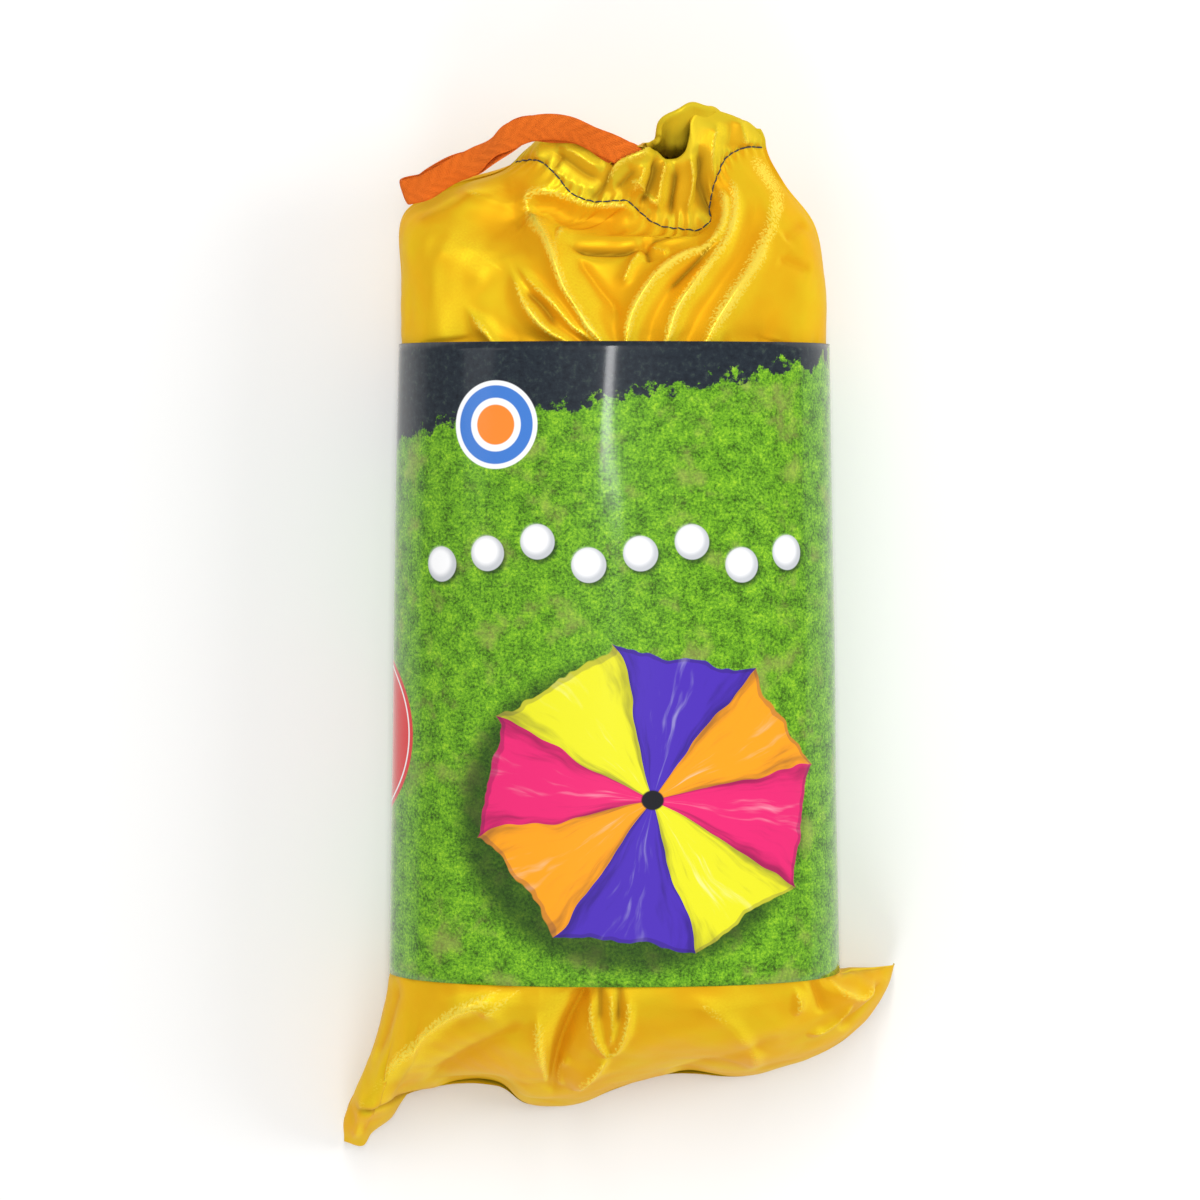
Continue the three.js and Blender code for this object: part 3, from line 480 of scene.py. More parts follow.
LOWER_FOLDS = [
    (-8.5, 3, 5.5, 0.8, [-11.4, -120, -13.6, -132, -19, -146, -23.6, -160, -25.3, -172, -25, -180]),
    (3, 1.2, 1.4, 0.4, [-10.6, -124, -10.9, -140, -8.6, -150, -4.6, -155.4, -0.6, -151, 2.2, -142, 3.2,
     -124]),
    (2.2, 1.1, 1.1, 0.3, [-3.8, -124, -3.4, -146, -4.6, -154]),
    (-1.8, 1, 1, 0.3, [-7.4, -124, -7.2, -144]),
    (-1.8, 1, 1, 0.3, [0, -124, -0.6, -144]),
    (3, 1.6, 2.2, 0.5, [-4.6, -156, -9, -163, -14, -170, -18, -177]),
    (2.6, 1.4, 2, 0.6, [-19.6, -158, -23.4, -166, -23, -175]),
    (3.6, 3, 3.4, 0.8, [-31, -137, -30, -150, -28.6, -164, -27.6, -176]),
    (5.6, 3.4, 5.4, 0.8, [-34, -124, -48, -131, -62, -138, -76, -150, -88, -165, -96, -178, -103, -192],
     (0.24, 0.5)),
    (2.4, 3, 3, 0.8, [-30, -127, -42, -132, -53, -141]),
    (-3, 4, 4, 1.4, [-30, -140, -50, -152, -64, -164, -78, -178]),
    (-1.7, 1, 1.7, 0.4, [-72, -180.4, -82, -182.6, -90, -183, -98, -183.4, -103.4, -184.6], (0.4, 0.2)),
    (1.1, 1.8, 2.2, 0.8, [-66, -176, -78, -178.6, -89, -180, -99, -180.6]),
    (1.5, 1.8, 1.8, 0.7, [-96, -176, -101, -188, -105, -201]),
    (-2.2, 2.4, 2.4, 1, [-84, -128, -89, -146, -95, -166]),
    (-2.4, 6, 7, 2, [18, -176, 38, -162, 62, -150]),
    (1.8, 4, 5, 2, [22, -128, 44, -146, 52, -166, 48, -176]),
    (-2.8, 1.6, 2, 0.6, [70, -123, 74.6, -131, 78, -143]),
    (2.2, 1.4, 1.6, 0.5, [70.5, -150.5, 78, -149.5, 84, -145, 87, -138]),
    (3.4, 2, 3, 0.7, [79, -122, 82.6, -133, 90, -138, 99, -133]),
    (-2.2, 2.4, 2.4, 0.8, [84, -152, 92, -145, 103, -134]),
    (2.4, 1.4, 1.4, 0.5, [62, -124, 65.4, -130, 67, -136, 66, -142]),
]
# Soft swellings: place and half sizes in millimetres, turn in degrees, height in millimetres
SWELLINGS = [
    (-9, 156.6, 17, 4.4, -4, 1.7), (21, 154.6, 9, 2.2, 8, 2.2), (9.8, 152.5, 2.6, 2.6, 0, -3.0),
    (8, 174, 5, 8, -20, 2.2), (45, 190, 8, 5, -20, 1.4), (-28, 184, 7, 4, -30, 1.0),
    (-40, -152, 16, 16, 0, 2.4), (40, -146, 30, 16, 0, 2.2),
    (-97, -184, 7, 11, 40, 1.8), (93, -136, 12, 9, 0, 2.6), (-52, -176, 14, 5, 0, -2.6),
]
# Steps along a fold, how many of its widths it reaches, the share of that up to which it stands whole, and
# the share of its height that stays where its ends have run out
FOLD_STEPS, FOLD_REACH, FOLD_FADE, FOLD_REST = 26, 6, 0.4, 0.04
USUAL_ENDS = (0.24, 0.24)
# Width of the painted highlight along a crest as a share of its fold's widths, with its limits in
# millimetres.
# Crests from BROAD_CREST up have none, and valleys narrower than NARROW_FOLD are sharp creases, painted dark
# as shade
HIGHLIGHT_SHARE, HIGHLIGHT_LIMITS = 0.19, (0.8, 3.0)
BROAD_CREST = 3
NARROW_FOLD = 1.8
# Fold's height in millimetres whose crest gets the full painted highlight, the most highlight that it may
# get, and the depth of a crease that gets the full painted shade
HIGHLIGHT_PEAK, MOST_HIGHLIGHT, SHARP_DEPTH = 6, 0.75, 3
# Ripples of the cloth: wavelength, seed and height, and the share of them that is left under the card
RIPPLES = [(0.030, 11, 0.0006), (0.012, 23, 0.00016)]
UNDER_CARD_SHARE = 0.25
# Distances past the card's upper and lower edge over which the cloth's forms set in, and its rises
CARD_FADE = (-0.003, 0.006, -0.003, 0.004)
RISE_FADE = (0.0002, 0.008, 0.0002, 0.008)
# Long shallow creases of the cloth that the card presses flat
PRESSED_STRETCH, PRESSED_DEPTH = (1, 0.22, 1), 0.0012
PRESSED_WAVE, PRESSED_SEED, PRESSED_START = 0.013, 57, 0.12
# The painted highlight along a crest comes and goes by this share
HIGHLIGHT_BREAK, HIGHLIGHT_WAVE, HIGHLIGHT_SEED = 0.28, 0.016, 41
# Distances from a side seam that stay flat and that its forms take to settle, and the share of a fold there
PANEL_WIDTH, FLAT_SEAM, SETTLING, SEAM_FOLD = 0.24, 0.003, 0.012, 0.35
PUCKERS, PUCKER_HEIGHT, PUCKER_REACH = 31, 0.00035, 0.0035
GATHERS, GATHER_HEIGHT, GATHER_REACH, GATHER_Y = 9, 0.0011, 0.020, NECK_Y + 0.006
STITCH_DEPTH, STITCH_REACH = 0.0006, 0.0012
SEAM_DEPTH, SEAM_REACH = 0.0012, 0.0022
# How far a place stands out of those within so many rows and columns to count as a full crest
CREST_HEIGHT, CREST_REACH = 0.0016, 7
# Way towards the light: the satin is painted lighter and golden where a fold turns it this way, and painted
# deep orange shade where it turns away
LIGHT_WAY = np.array([2.2, 1.0, 0.0])
# The front's cloth eases off over the headroom above its highest place. No cloth goes below the lowest
HIGHEST_CLOTH, CLOTH_HEADROOM, LOWEST_CLOTH = SLEEVE_HEIGHT - 0.0019, 0.0008, 0.0002


def nearest_on_line(x, y, route):
    """Distance to a line, positive to the right of it, and the share along it."""
    best = np.full(x.shape, 1e9)
    side = np.zeros(x.shape)
    share = np.zeros(x.shape)
    for i, (start, end) in enumerate(zip(route[:-1], route[1:])):
        step = end - start
        along = np.clip(((x - start[0]) * step[0] + (y - start[1]) * step[1]) / (step @ step), 0, 1)
        off_x, off_y = x - start[0] - along * step[0], y - start[1] - along * step[1]
        distance = np.hypot(off_x, off_y)
        closer = distance < best
        best = np.where(closer, distance, best)
        side = np.where(closer, np.sign(off_x * step[1] - off_y * step[0]), side)
        share = np.where(closer, (i + along) / (len(route) - 1), share)
    return best * np.where(side < 0, -1, 1), share


def fold_shape(x, y, left, right, crest, points, ends=USUAL_ENDS):
    """Height from 0 to 1 of a fold, which falls off on each side at its own width, and its crest's painted
    highlight.
    """
    route = even_curve(line(points), FOLD_STEPS)
    reach = FOLD_REACH * mm(max(left, right))
    low, high = route.min(axis=0) - reach, route.max(axis=0) + reach
    near = (x > low[0]) & (x < high[0]) & (y > low[1]) & (y < high[1])
    distance, share = nearest_on_line(x[near], y[near], route)
    blend = smooth_step(-mm(crest), mm(crest), distance)
    width = mm(left) + (mm(right) - mm(left)) * blend
    rounded = np.sqrt(distance ** 2 + mm(crest) ** 2) - mm(crest)
    fade = faded(*ends, share)
    shape, gloss = np.zeros(x.shape), np.zeros(x.shape)
    shape[near] = (np.exp(-rounded / width) * (FOLD_REST + (1 - FOLD_REST) * fade)
                   * smooth_step(reach, FOLD_FADE * reach, np.abs(distance)))
    gloss[near] = fade * bell(distance / mm(np.clip(HIGHLIGHT_SHARE * (left + right), *HIGHLIGHT_LIMITS)))
    return shape, gloss


def fold_height(x, y, folds):
    """Height in metres of single folds at the places x, y, their crests' painted highlight and creases'
    painted shade.
    """
    height, gloss, crease = (np.zeros(x.shape) for _ in range(3))
    for peak, left, right, *form in folds:
        shape, shine = fold_shape(x, y, left, right, *form)
        height += mm(peak) * shape
        gloss = np.maximum(gloss, shine * np.clip(peak / HIGHLIGHT_PEAK, 0, MOST_HIGHLIGHT))
        # A narrow valley is a sharp crease, which the satin paints dark as shade
        if max(left, right) < NARROW_FOLD:
            depth = np.clip(-peak / SHARP_DEPTH, 0, 1)
            crease = np.maximum(crease, np.clip(1.3 * shape ** 1.5 * depth, 0, 1))
    return height, gloss, crease


# Stretches over which the sag sets in above the sleeve, ends at the neck and sets in from the side seams
SAG_START, SAG_END = (SLEEVE_TOP_Y - 0.009, SLEEVE_TOP_Y + 0.003), (NECK_Y + 0.003, NECK_Y - 0.022)
SAG_SIDES = (0.12, 0.30)


def shoulder_sag(x, y, to_seam):
    """Height below its ridges of the tight cloth between the sleeve and the mouth, and the ridges' painted
    highlight.
    """
    ridges, gloss = np.zeros(x.shape), np.zeros(x.shape)
    for share, left, right, crest, end, points in SHOULDER_RIDGES:
        shape, shine = fold_shape(x, y, left, right, crest, points, (RIDGE_START, end))
        ridges += (share * shape) ** RIDGE_CROWDING
        if crest < BROAD_CREST:
            gloss = np.maximum(gloss, shine * min(share, 1))
    region = smooth_step(*SAG_START, y) * smooth_step(*SAG_END, y) * smooth_step(*SAG_SIDES, to_seam)
    return SHOULDER_SAG * region * (ridges ** (1 / RIDGE_CROWDING) - 1), gloss


def swelling_height(x, y):
    height = np.zeros(x.shape)
    for place_x, place_y, half_x, half_y, turn, peak in SWELLINGS:
        angle = math.radians(turn)
        off_x, off_y = x - mm(place_x), y - mm(place_y)
        along = (off_x * math.cos(angle) + off_y * math.sin(angle)) / mm(half_x)
        across = (off_y * math.cos(angle) - off_x * math.sin(angle)) / mm(half_y)
        height += mm(peak) * bell(np.hypot(along, across))
    return height


def outside_card(y, top_start, top_end, bottom_start, bottom_end):
    """0 under the card and 1 outside it, changing between distances beyond its upper and its lower edge."""
    return np.maximum(smooth_step(SLEEVE_TOP_Y + top_start, SLEEVE_TOP_Y + top_end, y),
                      smooth_step(SLEEVE_BOTTOM_Y - bottom_start, SLEEVE_BOTTOM_Y - bottom_end, y))


def cloth_detail(points, side, turns):
    """Outward move in metres of each point of a panel, its crests' painted highlight and its creases'
    painted shade.
    """
    x, y = points[..., 0], points[..., 1]
    strength = sizes().fold_height
    out_of_card = outside_card(y, *CARD_FADE)
    seam_share = np.minimum(turns, 1 - turns)[None, :]
    to_seam = seam_share * PANEL_WIDTH
    settled = smooth_step(0, SETTLING, to_seam)
    height = sum(ripple(points, wavelength, seed + side) * peak for wavelength, seed, peak in RIPPLES)
    height = height * (UNDER_CARD_SHARE + (1 - UNDER_CARD_SHARE) * out_of_card)
    pressed = ripple(points * PRESSED_STRETCH, PRESSED_WAVE, PRESSED_SEED + side) - PRESSED_START
    height = height - PRESSED_DEPTH * np.clip(pressed, 0, 1) * (1 - out_of_card)
    gloss, crease = np.zeros(x.shape), np.zeros(x.shape)
    if side == FRONT:
        folds, gloss, crease = fold_height(x, y, UPPER_FOLDS + CHANNEL_FOLDS + LOWER_FOLDS)
        folds += swelling_height(x, y)
        sag, shine = shoulder_sag(x, y, seam_share)
        # The painted highlight along the crests comes and goes
        broken = 1 - HIGHLIGHT_BREAK + HIGHLIGHT_BREAK * ripple(points, HIGHLIGHT_WAVE, HIGHLIGHT_SEED)
        gloss = np.maximum(gloss, shine) * out_of_card * broken
        folds = folds * np.where(folds > 0, outside_card(y, *RISE_FADE), out_of_card)
        height = height + strength * (folds * (SEAM_FOLD + (1 - SEAM_FOLD) * settled) + sag)
    else:
        gather = np.sin(turns * 2 * math.pi * GATHERS + 0.7 * np.sin(turns * 17))[None, :]
        nearness = np.exp(-np.abs(y - GATHER_Y) / GATHER_REACH)
        height = height + strength * GATHER_HEIGHT * gather * nearness * settled
    pucker = np.sin(turns * 2 * math.pi * PUCKERS + 1.3 * np.sin(turns * 23))[None, :]
    off_stitch = np.abs(y - y[STITCH_ROW][None, :])
    height = height + PUCKER_HEIGHT * pucker * bell(off_stitch / PUCKER_REACH) * settled
    height = height - STITCH_DEPTH * bell(off_stitch / STITCH_REACH) * settled
    height = height - SEAM_DEPTH * bell(to_seam / SEAM_REACH) * out_of_card
    return height * smooth_step(0, FLAT_SEAM, to_seam), gloss, crease


def panel_turns(side):
    """Places of the columns across a panel, closer together in its middle."""
    even = np.linspace(0, 1, COLUMNS[side])
    return even + MIDDLE_CROWDING * np.sin(2 * math.pi * even) / (2 * math.pi)


def spread_out(height, times=2):
    """Means of a grid of heights over the places within CREST_REACH rows and columns."""
    size = 2 * CREST_REACH + 1
    for _ in range(times):
        for axis in (0, 1):
            pad = [(CREST_REACH + 1, CREST_REACH) if a == axis else (0, 0) for a in (0, 1)]
            total = np.cumsum(np.pad(height, pad, mode="edge"), axis=axis)
            upper = np.take(total, np.arange(size, total.shape[axis]), axis=axis)
            height = (upper - np.take(total, np.arange(total.shape[axis] - size), axis=axis)) / size
    return height


def panel_points(side):
    """Right side of one panel's cloth as a grid, from the bottom seam up to the edge of the mouth.

    Also gives the grid before its folds and the looks of each place, for the satin's painted light and
    shade:
    how far it stands out of those round it, its painted highlight, its creases and how far its fold turns it
    towards the light.
    """
    turns = panel_turns(side)
    rings = np.stack([ring_line(ring, side, turns) for ring in bag_rings()])
    stations = [span + np.arange(1, rows + 1) / rows for span, rows in enumerate(SPAN_ROWS)]
    smooth = curve_through(rings, np.concatenate([[0], *stations]))
    normals = grid_normals(smooth) * side
    height, gloss, crease = cloth_detail(smooth, side, turns)
    points = smooth + normals * height[..., None]
    z = points[..., 2]
    if side == FRONT:
        past = (z - HIGHEST_CLOTH) / (2 * CLOTH_HEADROOM)
        z = np.where(past > 0, HIGHEST_CLOTH + CLOTH_HEADROOM * np.tanh(past), z)
    points[..., 2] = np.maximum(z, LOWEST_CLOTH)
    crest = (height - spread_out(height)) / CREST_HEIGHT
    # How far each place's fold turns it towards the light, which the satin uses for painted light and shade
    nap = (grid_normals(points) * side - normals) @ LIGHT_WAY
    looks = {"crest": np.clip(crest, -1, 1), "gloss": gloss, "crease": crease, "nap": np.clip(nap, -1, 1)}
    return points, smooth, looks


def with_hem(points, side):
    """Adds the cloth that turns in at the mouth and comes back down inside to the stitch line."""
    turns = panel_turns(side)
    open_share = 0.2 + 0.8 * smooth_step(0, 0.05, np.minimum(turns, 1 - turns))
    turn_in = ((sizes().cloth_thickness + CHANNEL_SPACE / 2) * open_share)[:, None]
    inward = -grid_normals(points) * side
    upward = unit(points[-1] - points[-2])
    folded = [points[-1] + upward * turn_in * math.sin(angle) + inward[-1] * turn_in * (1 - math.cos(angle))
              for angle in np.linspace(0, math.pi, HEM_FOLD_ROWS + 1)[1:-1]]
    inner = points[STITCH_ROW:] + 2 * turn_in * inward[STITCH_ROW:]
    return np.concatenate([points, np.stack(folded), inner[::-1]])


# The slit under the lobe of the front hem, where both legs of the tape come out: distances from the lobe's
# crest in millimetres, and shares along it
LOBE_CREST = CHANNEL_FOLDS[0][4]
SLIT_SIDE = (-2.5, -0.5)
SLIT_SHARE = (0.34, 0.86)


def slit_mask(smooth):
    """Places of the front panel that lie in the slit."""
    crest = even_curve(line(LOBE_CREST), FOLD_STEPS)
    distance, share = nearest_on_line(smooth[..., 0], smooth[..., 1], crest)
    return ((smooth[..., 2] > MIDDLE_Z) & (distance > mm(SLIT_SIDE[0])) & (distance < mm(SLIT_SIDE[1]))
            & (share > SLIT_SHARE[0]) & (share < SLIT_SHARE[1]))


def bag_panel(side, name):
    """One panel of the bag as a sheet of cloth, with its channel hem."""
    points, smooth, looks = panel_points(side)
    rows, columns = points.shape[:2]
    full = with_hem(points, side)
    across = run_length(full[:rows], axis=1)
    uv = stacked(across[None, :] - across[-1] / 2, run_length(full)[:, None])
    faces = grid_faces(len(full), columns, flip=side == BACK)
    if side == FRONT:
        cut = np.zeros(full.shape[:2], bool)
        cut[STITCH_ROW + 2:rows] = slit_mask(smooth)[STITCH_ROW + 2:]
        faces = faces[~cut.ravel()[faces].all(axis=1)]
    made = new_object(name, full, faces, uv)
    looks = {label: np.pad(values, ((0, len(full) - rows), (0, 0))) for label, values in looks.items()}
    looks["hem"] = np.broadcast_to(np.arange(len(full))[:, None] >= STITCH_ROW, full.shape[:2])
    for label, values in looks.items():
        attribute = made.data.attributes.new(label, "FLOAT", "POINT")
        attribute.data.foreach_set("value", values.astype(np.float32).ravel())
    return made, points


# Shader nodes

class Value:
    """What a node gives out. Sums with it add math nodes."""

    def __init__(self, wires, socket):
        self.wires, self.socket = wires, socket

    def calc(self, operation, *others):
        return self.wires.node("ShaderNodeMath", {"operation": operation}, dict(enumerate([self, *others])))

    __add__ = partialmethod(calc, "ADD")
    __sub__ = partialmethod(calc, "SUBTRACT")
    __mul__ = partialmethod(calc, "MULTIPLY")
    __truediv__ = partialmethod(calc, "DIVIDE")

    def sharp(self, low, high):
        """0 below low and 1 above high, with a smooth change between them."""
        return self.wires.node("ShaderNodeMapRange", {"interpolation_type": "SMOOTHSTEP"},
                               {"Value": self, "From Min": low, "From Max": high})

    def mix(self, low, high):
        """From the picture or colour low at 0 to high at 1."""
        return self.wires.node("ShaderNodeMix", {"data_type": "RGBA"}, {0: self, 6: low, 7: high}, 2)

    def split(self):
        """Its X and Y."""
        return [self.wires.node("ShaderNodeSeparateXYZ", {}, {"Vector": self}, axis) for axis in "XY"]


class Wires:
    """Adds nodes to one node tree and joins them."""

    def __init__(self, tree):
        self.tree = tree

    def feed(self, socket, value):
        if isinstance(value, Value):
            self.tree.links.new(value.socket, socket)
        else:
            colour = isinstance(value, tuple) and len(value) == 3 and socket.type == "RGBA"
            socket.default_value = (*value, 1) if colour else value

    def node(self, kind, settings=None, inputs=None, output=0):
        made = self.tree.nodes.new(kind)
        for name, value in (settings or {}).items():
            setattr(made, name, value)
        for name, value in (inputs or {}).items():
            self.feed(made.inputs[name], value)
        return Value(self, made.outputs[output])

    def noise(self, vector, scale, detail=2.0, roughness=0.5):
        return self.node("ShaderNodeTexNoise", {},
                         {"Vector": vector, "Scale": scale, "Detail": detail, "Roughness": roughness}, "Fac")

    def ramp(self, value, stops, interpolation="LINEAR"):
        made = self.node("ShaderNodeValToRGB", {}, {"Fac": value}, "Color")
        ramp = made.socket.node.color_ramp
        ramp.interpolation = interpolation
        while len(ramp.elements) < len(stops):
            ramp.elements.new(0.5)
        for point, (place, colour) in zip(ramp.elements, stops):
            point.position = place
            point.color = (*colour, 1)
        return made

    def join(self, x, y):
        return self.node("ShaderNodeCombineXYZ", {}, {"X": x, "Y": y})

    def attribute(self, name):
        return self.node("ShaderNodeAttribute", {"attribute_name": name}, {}, "Fac")

    def bump(self, height, strength, distance, **over):
        return self.node("ShaderNodeBump", {},
                         {"Height": height, "Strength": strength, "Distance": distance, **over})

    def group(self, tree, **inputs):
        """The outputs of a shared group, in their order."""
        made = self.node("ShaderNodeGroup", {"node_tree": tree}, inputs).socket.node
        return [Value(self, socket) for socket in made.outputs]


def shared_group(name, inputs, outputs, fill):
    """A node group made once: fill(wires, incoming values) gives back a value for each output."""
    if name in bpy.data.node_groups:
        return bpy.data.node_groups[name]
    tree = bpy.data.node_groups.new(name, "ShaderNodeTree")
    for label, kind in inputs.items():
        tree.interface.new_socket(name=label, in_out="INPUT", socket_type=kind)
    for label in outputs:
        tree.interface.new_socket(name=label, in_out="OUTPUT", socket_type="NodeSocketFloat")
    wires = Wires(tree)
    incoming = wires.node("NodeGroupInput").socket.node
    outgoing = tree.nodes.new("NodeGroupOutput")
    values = fill(wires, *(Value(wires, incoming.outputs[label]) for label in inputs))
    for label, value in zip(outputs, values):
        wires.feed(outgoing.inputs[label], value)
    return tree


def plain_weave():
    """Height and tone of a plain weave, for a vector and a thread width in metres."""
    def fill(wires, vector, thread):
        rows, columns = ((axis / thread * math.pi).calc("SINE") for axis in vector.split())
        height = rows * columns * 0.5 + 0.5
        return height, height * 0.6 + wires.noise(vector, 900.0) * 0.4
    return shared_group("plain_weave", {"Vector": "NodeSocketVector", "Thread": "NodeSocketFloat"},
                        ("Height", "Tone"), fill)


def cloth_creases():
    """Height of the fine creases and the cloudy tone that any worn cloth has."""
    def fill(wires, vector):
        broad = wires.noise(vector, 28.0, 4.0, 0.55)
        return broad + wires.noise(vector, 240.0, 3.0, 0.6) * 0.12, broad
    return shared_group("cloth_creases", {"Vector": "NodeSocketVector"}, ("Height", "Cloud"), fill)


def new_material(name):
    """A material with its wires and the place on the piece's own UV map, in metres."""
    material = bpy.data.materials.new(name)
    material.use_nodes = True
    wires = Wires(material.node_tree)
    return material, wires, wires.node("ShaderNodeUVMap", {"uv_map": "cloth"})


def surface(material, wires, colour, roughness, **others):
    """Feeds the surface shader. Sockets with a space in their name are given with _ instead."""
    shader = material.node_tree.nodes["Principled BSDF"]
    for name, value in {"Base_Color": colour, "Roughness": roughness, **others}.items():
        wires.feed(shader.inputs[name.replace("_", " ")], value)
    return material


def scaled(colour, *factors):
    """A colour times one factor, or one for each channel."""
    return tuple(min(1.0, channel * factor) for channel, factor in zip(colour, factors * 3))


SATIN_THREAD, TAFFETA_THREAD, DRAWSTRING_RIB, HANDLE_RIB = 0.00045, 0.0003, 0.0008, 0.0011
PATCH_BLACK, HANDLE_WHITE = (0.012, 0.012, 0.015), (0.80, 0.80, 0.77)


def satin_material(name):
    """Bright yellow polyester satin, greener where the hem doubles it and dull on its wrong side, with
    painted light and shade.
    """
    material, wires, place = new_material(name)
    base = chosen("satin")
    height, cloud = wires.group(cloth_creases(), Vector=place)
    weave, _ = wires.group(plain_weave(), Vector=place, Thread=SATIN_THREAD)
    grain, sparkle = wires.noise(place, 1500.0, 1.0), wires.noise(place, 1050.0, 1.0, 0.6)
    crest, nap = wires.attribute("crest"), wires.attribute("nap")
    right_side = cloud.sharp(0.34, 0.72).mix(scaled(base, 1, 0.93, 1), scaled(base, 0.97, 1.12, 1.3))
    right_side = (wires.attribute("hem") * 0.8).mix(right_side, scaled(base, 0.84, 1.12, 2.2))
    # Painted light: where a fold turns the cloth towards the light, it is painted lighter and golden, with a
    # grain
    painted_light = nap.sharp(0.05, 0.75) * (sparkle + 0.15)
    right_side = painted_light.mix(right_side, scaled(base, 1.12, 1.42, 2.0))
    # Painted shade: where a fold turns the cloth away from the light, and in the low places between crests,
    # it is painted deep orange
    turned = nap.sharp(-0.05, -0.70).calc("MAXIMUM", crest.sharp(0.0, -0.8))
    right_side = (turned * 0.62).mix(right_side, scaled(base, 0.92, 0.70, 0.6))
    # Painted shade: sharp creases are painted dark
    right_side = (wires.attribute("crease") * 0.8).mix(right_side, scaled(base, 0.34, 0.36, 1))
    # Painted highlight: speckled lemon lines along the crests and high places, where the satin is also
    # smoother
    gloss = wires.attribute("gloss") + crest.sharp(0.30, 1.0) * 0.26
    speckle = (sparkle - 0.5) * gloss.sharp(0.04, 0.40)
    lit = (speckle * 3.2 + gloss).sharp(0.24, 0.92)
    right_side = (lit * 0.85).mix(right_side, (1.0, 0.77, 0.09))
    # Partly painted light: the wrong side's paler, greener tone is its own, and its brightness is painted
    # light standing in for light bouncing inside the mouth
    brightened_wrong_side = cloud.mix(scaled(base, 0.92, 1.20, 2.0), scaled(base, 1.10, 1.50, 2.4))
    seen_inside = wires.node("ShaderNodeNewGeometry", output="Backfacing")
    fine = weave * 0.35 + grain + sparkle * 0.8
    normal = wires.bump(fine, 0.28, 0.00012, Normal=wires.bump(height, 0.20, 0.0010))
    rough = grain * 0.12 + 0.30 - lit * 0.12 + crest.sharp(0.30, -0.35) * 0.14 + seen_inside * 0.2
    return surface(material, wires, seen_inside.mix(right_side, brightened_wrong_side), rough, Normal=normal,
                   Metallic=0.30, IOR=1.12, Specular_Tint=(1.0, 0.72, 0.10))


def tape_material(name, colour, thread):
    """Woven cotton tape: ribs across it, twill inside, its raised threads painted lighter than its low ones,
    and slightly darker selvedges.
    """
    material, wires, place = new_material(name)
    along, across = place.split()
    slant = across.calc("ABSOLUTE")
    wave = ((along + slant) * (2 * math.pi / thread)).calc("SINE")
    weave, _ = wires.group(plain_weave(), Vector=place, Thread=thread * 0.6)
    fluff = wires.noise(place, 3200.0, 3.0, 0.7)
    height = wave * 0.28 + 0.3 + weave * 0.4 + fluff
    # Partly painted light and shade: the raised threads are painted lighter and the low ones darker, mixed
    # with a random tone
    tone = height * 0.55 + wires.noise(place, 160.0, 3.0, 0.6) * 0.45
    dark, light = scaled(colour, 0.84), scaled(colour, 1.2)
    shade = (slant.sharp(0.0036, 0.0050) * 0.35).mix(tone.sharp(0.35, 0.90).mix(dark, light), dark)
    return surface(material, wires, shade, fluff * 0.2 + 0.68, Normal=wires.bump(height, 1.0, 0.00045),
                   IOR=1.15, Sheen_Weight=0.10, Sheen_Roughness=0.5, Sheen_Tint=light)


def canopy_material(name, colour):
    """Thin taffeta of the canopy."""
    material, wires, place = new_material(name)
    _, cloud = wires.group(cloth_creases(), Vector=place)
    height, tone = wires.group(plain_weave(), Vector=place, Thread=TAFFETA_THREAD)
    return surface(material, wires, cloud.mix(scaled(colour, 0.85), scaled(colour, 1.12)),
                   tone * 0.2 + 0.32, Normal=wires.bump(height, 0.3, 0.0001))


def thread_material(name):
    """Dark sewing thread with its twisted ply, whose raised strands are painted lighter."""
    material, wires, place = new_material(name)
    along, round_it = place.split()
    ply = (along * 9000.0 + round_it * 6.28).calc("SINE") * 0.5 + 0.5
    base = chosen("thread")
    # Painted light: the raised strands of the ply are painted lighter
    return surface(material, wires, ply.mix(base, scaled(base, 4.0)), ply * 0.2 + 0.45,
                   Normal=wires.bump(ply, 0.5, 0.0001))


# Print on the sleeve: places in millimetres from the middle of the front, across it and up it
CANOPY_PLACE, CANOPY_RADIUS = (14, -58), 68
CANOPY_SHADOW_PLACE = (7, -64)
CANOPY_SQUASH, CANOPY_TURN = 0.88, 0.34
BALL_ROW_Y, BALL_PITCH, BALL_RADIUS = 34, 19.5, 6.6
BADGE_PLACE, BADGE_RADIUS = (-46, 82), 16.5
RED_DISC_PLACE, RED_DISC_RADIUS = (-112, -36), 29
FOLIAGE_EDGE_Y = 110
PRINT_WHITE = (0.93, 0.94, 0.95)


def hypotenuse(x, y):
    return (x * x + y * y).calc("SQRT")


def within(value, radius, blur=0.25):
    """1 where a distance is below a radius."""
    return value.sharp(radius + blur, radius - blur)


